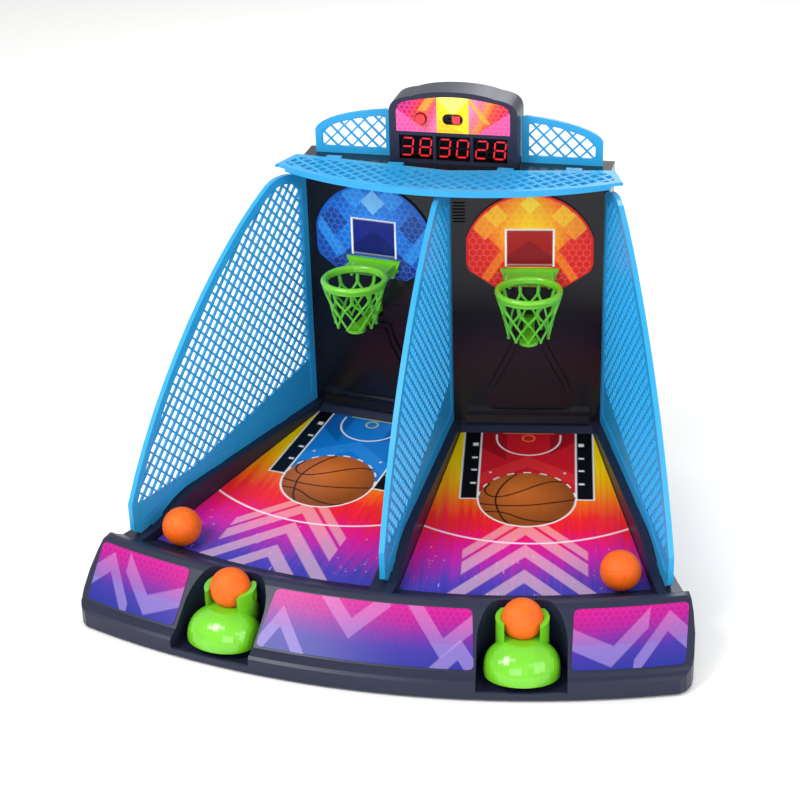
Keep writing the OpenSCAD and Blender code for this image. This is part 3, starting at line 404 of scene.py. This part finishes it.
# %% Printed film and its builder
def print_film(name, roughness=0.26):
    material, tree, shader = new_material(name, "#808080", roughness, Specular_IOR_Level=0.2)
    layer = add(tree, "ShaderNodeVertexColor", {"layer_name": "Print"})
    tree.links.new(layer.outputs["Color"], shader.inputs["Base Color"])
    where = add(tree, "ShaderNodeTexCoord").outputs["Object"]
    peel = add(tree, "ShaderNodeTexNoise", Vector=where, Scale=380.0, Detail=2.0).outputs["Fac"]
    bumped(tree, shader, peel, 0.18, 0.00008)
    return material


court_film = print_film("Printed and varnished court sheet")
label_film = print_film("Printed and varnished label", 0.22)


def sheet_piece(name, columns, rows, place, paint, material, body="cabinet"):
    """A grid of points laid by place(a, b) and inked by paint(x, y)."""
    bpy.ops.object.select_all(action="DESELECT")
    bpy.ops.mesh.primitive_grid_add(x_subdivisions=columns, y_subdivisions=rows, size=1)
    piece = bpy.context.object
    piece.name = name
    mesh = piece.data
    count = len(mesh.vertices)
    flat = np.empty(count * 3)
    mesh.vertices.foreach_get("co", flat)
    flat = flat.reshape(-1, 3) + 0.5
    x, y, points = place(flat[:, 0], flat[:, 1])
    mesh.vertices.foreach_set("co", points.astype(np.float32).ravel())
    rgba = np.ones((count, 4), np.float32)
    rgba[:, :3] = paint(x, y)
    layer = mesh.color_attributes.new(name="Print", type="FLOAT_COLOR", domain="POINT")
    layer.data.foreach_set("color", rgba.ravel())
    mesh.materials.clear()
    mesh.materials.append(material)
    mesh.update()
    normal = mesh.polygons[len(mesh.polygons) // 2].normal
    if normal.z < 0 and abs(normal.z) > 0.1 or normal.y > 0.6:
        mesh.flip_normals()
    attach(piece, body)
    print(name, "points", count)
    return piece


# %% [markdown]
# Each court sheet runs between the two rails and ends in the curve of the console.
# Its drawing has a key, a basketball in the jump circle, black lane bars with white
# ticks, the long shooting arc, and translucent chevrons that point at the hoop, over
# a streaky sunset from yellow at the wall to indigo at the player.

# %% Court artwork
SEAMS = [
    [(-.23, -.95), (-.42, -.7), (-.58, -.35), (-.65, 0), (-.62, .3), (-.5, .7), (-.36, .93)],
    [(-.98, .2), (-.5, .26), (0, .24), (.5, .14), (.99, .0)],
    [(-.8, -.57), (-.89, -.35), (-.82, -.15), (-.66, -.07), (-.42, -.12), (-.1, -.31), (.2, -.52), (.5, -.67),
     (.74, -.66)],
    [(-.87, .5), (-.6, .49), (-.35, .58), (-.1, .73), (.2, .82), (.5, .83), (.66, .74)],
]
SUNSET = [(0, "#ffe100"), (70, "#ffd000"), (104, "#ffa400"), (128, "#ff6a12"), (152, "#f62a26"),
          (172, "#f01c3c"), (192, "#e3177a"), (212, "#c51f9c"), (232, "#8f2fa6"), (252, "#4b3aa8"),
          (275, "#3636a0")]
# Each chevron's lower and upper point on the centre line, and how far out it reaches.
CHEVRONS = ((144, 157, 53), (162, 180, 53), (195, 213, 70), (231, 250, 60))
CHEVRON_RISE = 1.13
WHITE_INK, BLACK_INK = "#f5f3ee", "#0d0c12"
HOOP_AT, BALL_AT = 21.5, 124        # the key's small circle and the printed ball, out from the wall
BALL_PRINT = 42.4
KEY = {"left": ("#1277c9", "#0b5da6", "#2f95e2"), "right": ("#d51c29", "#a5121c", "#ee3d3b")}


def court_paint(side):
    def paint(v, w):
        drift = 16 * (grainy(v * 0.55, w * 0.012) - 0.5) + 9 * (grainy(v * 1.6 + 7, w * 0.02) - 0.5)
        rgb = stops(w + drift, SUNSET)
        streak = grainy(v * 2.3 + 40, w * 0.035)
        rgb *= (0.9 + 0.22 * streak)[:, None]
        patchy = (w > 195) & (grainy(v * 0.2, w * 0.06 + 5) > 0.5)
        spark = (grainy(v * 2.0 + 90, w * 0.09) > 0.93) & patchy
        rgb[spark] = rgb[spark] * 0.7 + 0.3
        # chevrons, cut off square at their outer ends
        for low, high, reach in CHEVRONS:
            slant = w - CHEVRON_RISE * np.abs(v)
            band = np.maximum(np.maximum(low - slant, slant - high) * 0.66, np.abs(v) - reach)
            ink(rgb, "#ffd2cc", np.maximum(band, 150 - w), 0.37)
        # shooting arc
        ink(rgb, "#ffe3ee", np.maximum(ring_d(v, w, 0, 22, 171, 1.9), 140 - w))
        # lane bars with their ticks
        for sign in (-1, 1):
            lane = sign * v
            ink(rgb, WHITE_INK, box_d(lane, w, 43.2, 60.2, -9, 125))
            ink(rgb, BLACK_INK, box_d(lane, w, 44.6, 58.9, -9, 123.6))
            for tick in (33, 56, 77, 99):
                size = 2.6 if tick == 33 else 1.3
                ink(rgb, WHITE_INK, box_d(lane, w, 46.2, 51.2, tick - size, tick + size))
        # key
        plain, dark, light = KEY[side]
        ink(rgb, WHITE_INK, box_d(v, w, -44.2, 44.2, -9, 126))
        inside = box_d(v, w, -43, 43, -9, 130)
        ink(rgb, plain, inside)
        ink(rgb, dark, np.maximum(inside, np.maximum(w - 72 + 0.9 * np.abs(v + 6), 20 - np.abs(v))), 0.9)
        ink(rgb, light, np.maximum(inside, np.abs(w - 62 - 0.7 * np.abs(v)) - 9), 0.45)
        ink(rgb, dark, np.maximum(inside, 96 - w + 0.8 * np.abs(v - 4)), 0.55)
        ink(rgb, WHITE_INK, np.maximum(ring_d(v, w, 0, HOOP_AT, 29.6, 1.5), HOOP_AT - w))
        for sign in (-1, 1):
            ink(rgb, WHITE_INK, box_d(sign * v, w, 28.9, 30.4, 15, 21.6))
            ink(rgb, WHITE_INK, box_d(sign * v, w, 32.6, 34.6, 80, 82))
        accent = "#c9d64a" if side == "left" else "#ff8a4a"
        ink(rgb, accent, box_d(v, w, -24, 24, 12.4, 13.6))
        ink(rgb, accent, ring_d(v, w, 0, HOOP_AT, 5.6, 1.3))
        # basketball in the jump circle, with its dashed and solid arcs
        angle = np.degrees(np.arctan2(w - BALL_AT, v))
        dashed = (angle < 0) & (np.mod(angle + 6, 20) > 11)
        circle = ring_d(v, w, 0, BALL_AT, 43.2, 1.6)
        ink(rgb, WHITE_INK, np.where((angle >= 0) | dashed, circle, 9))
        disc = np.hypot(v, w - BALL_AT) - BALL_PRINT
        glow = np.clip(1.12 - np.hypot(v + 9, w - 112) / 74, 0.45, 1.1)
        pebble = 0.93 + 0.14 * grainy(v * 1.5, w * 1.5)
        ball = np.array(srgb("#cc6a2c", False)) * (glow * pebble)[:, None]
        cover = np.clip(0.5 - disc / 0.7, 0, 1)[:, None]
        rgb[:] = rgb * (1 - cover) + ball * cover
        for seam in SEAMS:
            line = [(BALL_PRINT * a, BALL_AT + BALL_PRINT * b) for a, b in rounded(seam, 4)]
            ink(rgb, "#2a1611", np.maximum(path_d(v, w, line, 1.7), disc))
        return np.clip(rgb, 0, 1)
    return paint


# %% [markdown]
# The grid's rows follow the rails and the console's curve, so the sheet's own edge is
# the cut edge. It lies less than a tenth of a millimetre over the moulded court board.

# %% Court sheets
def court_place(side):
    sign = SIDES[side]

    def place(a, b):
        inner = 10.9 / math.cos(TURN)
        outer = 141.5 - 10.9 / math.cos(SIDE)
        s = inner + a * (outer - inner)
        for _ in range(5):
            end = np.sqrt(612.2 ** 2 - (s - FRONT_C * math.sin(TURN)) ** 2) - FRONT_C * math.cos(TURN)
            w = 12.3 + b * (end - 12.3)
            s = (inner - w * math.tan(TURN)) * (1 - a) + (outer + w * math.tan(SIDE)) * a
        v = s - COURT_S
        z = COURT_Z - (w - 12) * COURT_DROP + 0.06
        return sign * v, w, court_xyz(sign, v, w, z)
    return place


for side in SIDES:
    sheet_piece("court_print_" + side, 250, 330, court_place(side), court_paint(side), court_film)

# %% [markdown]
# The three labels on the console lie on its front slope, which is part of a cone.
# Each follows a pocket's edge, and has rounded corners, a honeycomb that fades downwards
# and folded translucent ribbons. No lettering is printed on any of them.

# %% Console labels
RIDGE_R, RIDGE_Z = 657, 54         # where the front slope starts
SLOPE = math.atan(33.6 / 41)
FILM_LIFT = 0.45                   # over the slope, just clear of the CAD label
LABEL_TOP, LABEL_LOW = 657.8, 696.7
LABEL_LENGTH = (LABEL_LOW - LABEL_TOP) / math.cos(SLOPE)
CORNER = 4.5


def fold_d(x, t, points, half):
    """A folded ribbon: straight runs with sharp mitres, cut off upright at both ends."""
    px, pt = zip(*points)
    beyond = np.maximum(px[0] - x, x - px[-1])
    return np.maximum((np.abs(t - np.interp(x, px, pt)) - half) * 0.6, beyond)


def label_edge(ends, y):
    """A label's side edge: its distance from the middle at a given place fore and aft."""
    return ends[0] + (ends[1] - ends[0]) * (-240 - y) / 180


def console_place(near, far):
    def place(a, b):
        t = b * LABEL_LENGTH
        corner = np.maximum(0, CORNER - np.minimum(t, LABEL_LENGTH - t))
        inset = 0.3 + CORNER - np.sqrt(np.maximum(0, CORNER ** 2 - corner ** 2))
        r = LABEL_TOP + t * math.cos(SLOPE)
        z = RIDGE_Z - (r - RIDGE_R) * math.tan(SLOPE) + FILM_LIFT * math.cos(SLOPE)
        r = r + FILM_LIFT * math.sin(SLOPE)
        y = FRONT_C - r
        for _ in range(6):
            x0, x1 = label_edge(near, y) + inset, label_edge(far, y) - inset
            x = x0 + a * (x1 - x0)
            y = FRONT_C - np.sqrt(r ** 2 - x ** 2)
        middle = (near[0] + far[0]) / 2
        return x - middle, t, np.stack([x * MM, (y + SHIFT) * MM, z * MM], axis=-1)
    return place


DUSK = [(0, "#c8128a"), (12, "#b0188f"), (24, "#7a2a9c"), (36, "#4434a0"), (50, "#2c3398")]
FOLD = 8.5                         # half a ribbon's height


def console_paint(ribbons, flip):
    def paint(x, t):
        drift = 3 * (grainy(x * 0.5, t * 0.1) - 0.5)
        rgb = stops(t + drift + 0.08 * flip * x, DUSK)
        ink(rgb, "#e23cae", hex_d(x, t, 5.2, 0.5), 0.6 * np.clip(1 - t / 30, 0, 1), 0.3)
        for ribbon in ribbons:
            fold = fold_d(x, t, ribbon, FOLD)
            ink(rgb, "#d9a6e4", fold, 0.3)
            ink(rgb, "#7c86d4", np.maximum(fold, 30 - t), 0.3)
        rgb *= (0.76 + 0.08 * grainy(x * 3, t * 3))[:, None]
        return np.clip(rgb, 0, 1)
    return paint


MIDDLE = [[(-98, 66), (-72, 22), (-46, 62)], [(-42, -8), (-14, 24), (16, -6)],
          [(30, -8), (62, 34), (98, -2)], [(48, 66), (76, 34), (98, 62)]]
WING = [[(-56, 36), (-33, 14), (-10, 52)], [(-18, 10), (7, 40), (46, 22)]]
MIDDLE_EDGE, INNER_EDGE, OUTER_EDGE = (67.3, 107.3), (155.6, 173.6), (247.8, 258.7)


def mirrored(pair):
    return tuple(-value for value in pair)


for name, near, far, ribbons, columns, flip in (
        ("left", mirrored(OUTER_EDGE), mirrored(INNER_EDGE), WING, 180, -1),
        ("middle", mirrored(MIDDLE_EDGE), MIDDLE_EDGE, MIDDLE, 300, 0),
        ("right", INNER_EDGE, OUTER_EDGE, [[(-x, t) for x, t in reversed(r)] for r in WING], 180, 1)):
    piece = sheet_piece("console_print_" + name, columns, 90, console_place(near, far),
                        console_paint(ribbons, flip), label_film)
    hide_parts("console_label_" + name)

# %% [markdown]
# A backboard is a flat moulding with an arched top and a shallow square target. Its
# film follows the outline row by row and steps down into the target's recess.

# %% Backboard artwork
def board_half(z):
    half = np.interp(z, [199, 215, 222, 246], [32, 55, 57.5, 57.5])
    return np.where(z > 245, np.sqrt(np.maximum(0.4, 60 ** 2 - (z - 229) ** 2)), half)


def board_place(side):
    sign = SIDES[side]

    def place(a, b):
        z = 199.2 + b * (288.7 - 199.2)
        v = (2 * a - 1) * (board_half(z) - 0.3)
        recess = (np.abs(v) < 20.8) & (z > 220.2) & (z < 254.4)
        w = np.where(recess, 1.88, 2.48)
        return sign * v, z, court_xyz(sign, v, w, z)
    return place


SUNBURST = [(0, "#ffd400"), (30, "#ffb000"), (46, "#ff8200"), (62, "#f54a10"), (80, "#e41c14")]
DEEP_SKY = [(0, "#1f8ae6"), (30, "#1470d2"), (52, "#0f58b8"), (70, "#10419c"), (90, "#142f86")]


def diamond_d(x, z, cx, cz, half):
    """A diamond on each side of the board, or one in the middle where cx is zero."""
    return np.abs(np.abs(x) - cx) + np.abs(z - cz) - half


def board_paint(side):
    def paint(x, z):
        edge = np.minimum(board_half(z) - np.abs(x), 60 - np.hypot(x, np.maximum(z - 229, 0)))
        far = np.hypot(x, z - 250)
        if side == "right":
            rgb = stops(far + 0.5 * np.abs(x), SUNBURST)
            ink(rgb, "#e81c12", np.maximum(z - 233 - 1.1 * (np.abs(x) - 24), 20 - np.abs(x)), 0.92)
            ink(rgb, "#ff9a10", diamond_d(x, z, 40, 259, 14), 0.85)
            ink(rgb, "#ffc31c", diamond_d(x, z, 30, 268, 11), 0.8)
            stripe = np.abs(z - 216 - 1.5 * (34 - np.abs(x))) - 7
            ink(rgb, "#ff7a08", np.maximum(stripe, 22 - np.abs(x)), 0.9)
            ink(rgb, "#ffe23a", diamond_d(x, z, 0, 279, 9), 0.7)
            rim, inner, shade = "#e0160f", "#a8201c", "#821420"
        else:
            rgb = stops(far, DEEP_SKY)
            ink(rgb, "#2b9bf0", diamond_d(x, z, 18, 277, 13), 0.75)
            ink(rgb, "#7cc8f8", diamond_d(x, z, 0, 272, 12), 0.85)
            ink(rgb, "#0d4496", diamond_d(x, z, 40, 250, 15), 0.9)
            stripe = np.abs(z - 214 - 1.4 * (np.abs(x) - 30)) - 9
            ink(rgb, "#2c93e8", np.maximum(stripe, 24 - np.abs(x)), 0.75)
            ink(rgb, "#122c86", np.maximum(z - 212 - 0.8 * (40 - np.abs(x)), 18 - np.abs(x)), 0.85)
            rim, inner, shade = "#1464c4", "#16257e", "#101a60"
        ink(rgb, "#ffffff", hex_d(x, z, 6.4, 0.45), 0.13, 0.3)
        rgb *= (0.93 + 0.14 * grainy(x * 1.4, z * 0.12))[:, None]
        ink(rgb, rim, edge - 2.2)
        ink(rgb, "#ffffff", box_d(x, z, -22.2, 22.2, 219.6, 255.6))
        target = box_d(x, z, -20.6, 20.6, 221.4, 254)
        ink(rgb, inner, target)
        ink(rgb, shade, np.maximum(target, z - 244 + 0.7 * np.abs(x)), 0.8)
        ink(rgb, shade, box_d(x, z, -20.6, 20.6, 219, 221.2), 0.9)
        return np.clip(rgb, 0, 1)
    return paint


for side in SIDES:
    sheet_piece("backboard_print_" + side, 220, 180, board_place(side), board_paint(side), label_film)

# %% [markdown]
# The scoreboard's label is a fan of warm facets under the arched top, with openings round the reset button
# and the power slider, each ringed with painted shade. It has no words.

# %% Scoreboard label
def arch_top(x):
    return np.interp(np.abs(x), [0, 8, 16, 28, 40, 46, 50, 52],
                     [369.8, 369.6, 368.9, 367.3, 365.2, 363.6, 361, 355])


def score_place(a, b):
    x = (2 * a - 1) * 51.8
    z = 336.3 + b * (arch_top(x) - 336.6)
    y = 24.02 + SHIFT
    return x, z, np.stack([x * MM, y * MM + 0 * x, z * MM], axis=-1)


CARNIVAL = [(-56, "#b00f74"), (-44, "#d0146e"), (-36, "#dc2c34"), (-28, "#e65a28"), (-21, "#e44a6c"),
            (-13, "#ee74a6"), (13, "#f080ac"), (20, "#ee6a86"), (27, "#f08a2c"), (32, "#e8482c"),
            (42, "#dc1f3c"), (56, "#cf1470")]
BUTTON_X, CONTROLS_Z = -29, 349    # the reset button; the slider is in the middle at its height


def score_paint(x, z):
    skew = x - 0.45 * (z - 350)
    rgb = stops(skew, CARNIVAL)
    ink(rgb, "#8f1276", np.maximum(np.abs(x + 48) - 9, z - 352 + 0.8 * (x + 50)), 0.55)
    ink(rgb, "#ea5aa8", np.maximum(z - 345 - 0.7 * (np.abs(x) - 34), 15 - np.abs(x)), 0.8)
    ink(rgb, "#f2a02c", np.maximum(np.abs(x + 24 - 0.7 * (z - 362)) - 4, 356 - z), 0.75)
    ink(rgb, "#f6a62c", np.maximum(np.abs(x - 24 + 0.8 * (z - 356)) - 2.6, 346 - z), 0.85)
    middle = np.abs(x) - 14.5
    ink(rgb, "#ffe000", middle)
    ink(rgb, "#fff27a", np.maximum(middle, np.abs(x) - (z - 352) * 0.9), 0.8)
    ink(rgb, "#f6b40c", np.maximum(middle, z - 349 + 0.5 * (x + 14)), 0.6)
    ink(rgb, "#ffffff", hex_d(x, z, 4.6, 0.35), 0.14, 0.25)
    # painted shade: dark rings round the reset button's opening and the slider's slot stand for the shade in
    # the gap between the label and these parts
    ink(rgb, "#2a0d18", np.hypot(x - BUTTON_X, z - CONTROLS_Z) - 5.6)
    ink(rgb, "#1a1018", np.hypot(np.maximum(np.abs(x) - 4.4, 0), z - CONTROLS_Z) - 5.0)
    return np.clip(rgb, 0, 1)


piece = sheet_piece("scoreboard_print", 230, 76, score_place, score_paint, label_film)
mesh = piece.data
holes = [f.index for f in mesh.polygons
         if math.hypot(f.center.x / MM - BUTTON_X, f.center.z / MM - CONTROLS_Z) < 4.9
         or (abs(f.center.x / MM) < 7.4 and abs(f.center.z / MM - CONTROLS_Z) < 4.0)]
bpy.ops.object.select_all(action="DESELECT")
piece.select_set(True)
bpy.context.view_layer.objects.active = piece
bpy.ops.object.mode_set(mode="EDIT")
bpy.ops.mesh.select_all(action="DESELECT")
bpy.ops.object.mode_set(mode="OBJECT")
for index in holes:
    mesh.polygons[index].select = True
bpy.ops.object.mode_set(mode="EDIT")
bpy.ops.mesh.select_mode(type="FACE")
bpy.ops.mesh.delete(type="FACE")
bpy.ops.object.mode_set(mode="OBJECT")
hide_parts("scoreboard_label")
print("openings cut", len(holes), "cells")

# %% [markdown]
# The display is six light-emitting digits of seven bars each, leaning slightly. Lit
# bars glow red and unlit ones show dark through the smoked lens.

# %% Glowing digits
lit = new_material("LED bar, lit", "#d81824", 0.4,
                   Emission_Color=srgb("#ff1c28"), Emission_Strength=0.4)[0]
unlit = new_material("LED bar, unlit", "#170608", 0.4, Specular_IOR_Level=0.2)[0]
BARS = {"a": (0, 8, 0), "b": (4.9, 4, 1), "c": (4.9, -4, 1), "d": (0, -8, 0), "e": (-4.9, -4, 1),
        "f": (-4.9, 4, 1), "g": (0, 0, 0)}
LIT = {"3": "abcdg", "8": "abcdefg", "0": "abcdef", "2": "abdeg"}


def digit_bars(name, wanted, material):
    parts = []
    for place, text in zip((-42.3, -25.7, -8.3, 8.3, 25.7, 42.3), "383028"):
        for bar, (x, z, upright) in BARS.items():
            if (bar in LIT[text]) != wanted:
                continue
            bpy.ops.mesh.primitive_circle_add(vertices=6, radius=1, fill_type="NGON")
            part = bpy.context.object
            long, thick = (3.5 if upright else 4.3), 0.72
            shape = [(-long, 0), (-long + 1, thick), (long - 1, thick),
                     (long, 0), (long - 1, -thick), (-long + 1, -thick)]
            for vertex, (p, q) in zip(part.data.vertices, shape):
                px, pz = (q, p) if upright else (p, q)
                px, pz = px + x, pz + z
                vertex.co = ((place + px + 0.1 * pz) * MM, (26.2 + SHIFT) * MM, (321.5 + pz) * MM)
            parts.append(part)
    bpy.ops.object.select_all(action="DESELECT")
    for part in parts:
        part.select_set(True)
    bpy.context.view_layer.objects.active = parts[0]
    bpy.ops.object.join()
    piece = bpy.context.object
    piece.name = name
    solid = piece.modifiers.new("thickness", "SOLIDIFY")
    solid.thickness = 0.0002
    solid.offset = 0
    bpy.ops.object.modifier_apply(modifier="thickness")
    piece.data.materials.clear()
    piece.data.materials.append(material)
    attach(piece, "cabinet")
    print(name, "bars", len(parts))


digit_bars("digits_lit", True, lit)
digit_bars("digits_unlit", False, unlit)

# %% [markdown]
# Each ball is a hollow vinyl moulding with a pebbled skin and shallow moulded seams:
# two great circles and two loops. A fine sphere is pressed in along the seams.

# %% Balls
BALL_MM = 16.98


def vinyl():
    material, tree, shader = new_material("PVC, rotation moulded, pebbled", "#ee6612", 0.48,
                                          Specular_IOR_Level=0.3,
                                          Subsurface_Weight=0.08, Subsurface_Scale=0.003)
    where = add(tree, "ShaderNodeTexCoord").outputs["Object"]
    pebble = add(tree, "ShaderNodeTexVoronoi", Vector=where, Scale=950.0).outputs["Distance"]
    cloud = add(tree, "ShaderNodeTexNoise", Vector=where, Scale=60.0, Detail=3.0).outputs["Fac"]
    tinted(tree, shader, "#ee6612", cloud, 0.9, 1.08)
    bumped(tree, shader, pebble, 0.55, 0.0003)
    return material


ball_vinyl = vinyl()


def ball_piece(node, tilt):
    low, high = (Vector(corner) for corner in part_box(node))
    centre = (low + high) / 2
    bpy.ops.mesh.primitive_ico_sphere_add(subdivisions=6, radius=1)
    piece = bpy.context.object
    piece.name = node + "_skin"
    mesh = piece.data
    count = len(mesh.vertices)
    flat = np.empty(count * 3)
    mesh.vertices.foreach_get("co", flat)
    unit = flat.reshape(-1, 3)
    unit /= np.linalg.norm(unit, axis=1)[:, None]
    turned = unit @ np.array(tilt.to_matrix())
    x, y, z = turned.T
    loop = np.abs(np.abs(x) - (0.62 + 0.14 * (z * z - y * y)))
    groove = np.minimum(np.minimum(np.abs(y), np.abs(z)), loop * 0.8) * BALL_MM
    depth = 0.32 * np.exp(-(groove / 0.42) ** 2)
    skin = np.array(centre) + unit * ((BALL_MM - depth) * MM)[:, None]
    mesh.vertices.foreach_set("co", skin.astype(np.float32).ravel())
    mesh.materials.append(ball_vinyl)
    mesh.update()
    bpy.ops.object.shade_smooth()
    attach(piece, node)
    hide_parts(node)
    print(piece.name, "points", count)


for node, turn in (("ball_launcher_left", (20, 35, 12)), ("ball_launcher_right", (62, 10, 40)),
                   ("ball_court_left", (35, 60, 5)), ("ball_court_right", (75, 20, 64))):
    ball_piece(node, Euler([math.radians(a) for a in turn]))

# %% [markdown]
# The nets are soft PVC, moulded in one with the look of knotted cord. Ten straps hang
# from the ring and each parts into two cords that cross their neighbours twice and end
# in points. A curve with a round section follows each cord, and the knots are beads.

# %% Nets
NET_ROWS = [0, 0.2, 0.47, 0.74, 1]       # the straps' ends, the rows of knots and the tips
STRANDS = 10
NET_TOP, NET_HEIGHT = 210.65, 38.0
NET_TOP_R, NET_LOW_R = 28.1, 18.5
HOOP_W = 48.5                            # the ring's middle, out from the wall
CORD_R, BEAD_R = 1.05, 1.55


def net_point(side, step, t):
    radius = NET_LOW_R + (NET_TOP_R - NET_LOW_R) * (1 - t) ** 1.3
    angle = step * math.pi / STRANDS
    v, w = radius * math.cos(angle), HOOP_W - radius * math.sin(angle)
    return court_xyz(SIDES[side], np.array(v), np.array(w), np.array(NET_TOP - NET_HEIGHT * t))


def net_piece(side):
    curve = bpy.data.curves.new("net_cords_" + side, "CURVE")
    curve.dimensions = "3D"
    curve.bevel_depth = CORD_R * MM
    curve.bevel_resolution = 3
    curve.resolution_u = 5
    for start in range(STRANDS):
        for way in (-1, 1):
            spline = curve.splines.new("BEZIER")
            spline.bezier_points.add(len(NET_ROWS) - 1)
            for row, (t, point) in enumerate(zip(NET_ROWS, spline.bezier_points)):
                point.co = net_point(side, 2 * start + way * max(0, row - 1), t)
                point.handle_left_type = point.handle_right_type = "AUTO"
            spline.bezier_points[0].radius = spline.bezier_points[1].radius = 1.35
    rim = curve.splines.new("BEZIER")
    rim.bezier_points.add(2 * STRANDS - 1)
    rim.use_cyclic_u = True
    for i, point in enumerate(rim.bezier_points):
        point.co = net_point(side, i, 0)
        point.handle_left_type = point.handle_right_type = "AUTO"
    cords = bpy.data.objects.new("net_cords_" + side, curve)
    bpy.context.collection.objects.link(cords)
    bpy.ops.object.select_all(action="DESELECT")
    cords.select_set(True)
    bpy.context.view_layer.objects.active = cords
    bpy.ops.object.convert(target="MESH")
    net = bpy.context.object
    beads = []
    for row, t in enumerate(NET_ROWS[1:], 1):
        for i in range(STRANDS):
            place = net_point(side, 2 * i + row - 1, t)
            bpy.ops.mesh.primitive_ico_sphere_add(subdivisions=3, radius=BEAD_R * MM, location=tuple(place))
            bead = bpy.context.object
            bead.data.transform(Matrix.Diagonal((1, 1, 1.25, 1)))
            bpy.ops.object.transform_apply(location=True, rotation=False, scale=False)
            beads.append(bead)
    bpy.ops.object.select_all(action="DESELECT")
    for bead in beads:
        bead.select_set(True)
    net.select_set(True)
    bpy.context.view_layer.objects.active = net
    bpy.ops.object.join()
    net = bpy.context.object
    net.name = "net_cords_" + side
    net.data.materials.clear()
    net.data.materials.append(lime_net)
    bpy.ops.object.shade_smooth()
    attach(net, "cabinet")
    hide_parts("net_" + side)
    print(net.name, "faces", len(net.data.polygons))


for side in SIDES:
    net_piece(side)

# %% [markdown]
# The floor is plain pale paper: nearly white, with enough tooth to kill reflections.

# %% Floor finish
paper = new_material("Paper sweep, matt", "#f4f4f3", 0.9)[0]
floor.data.materials.append(paper)

# %% [markdown]
# Last, the boxes of the CAD model and of what is now visible are given side by side as the cell's value.

# %% Record the sizes and finish
def plain(corners):
    return [[float(c) for c in corner] for corner in corners]


{"cad": plain(cad_box), "visual": plain(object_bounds())}
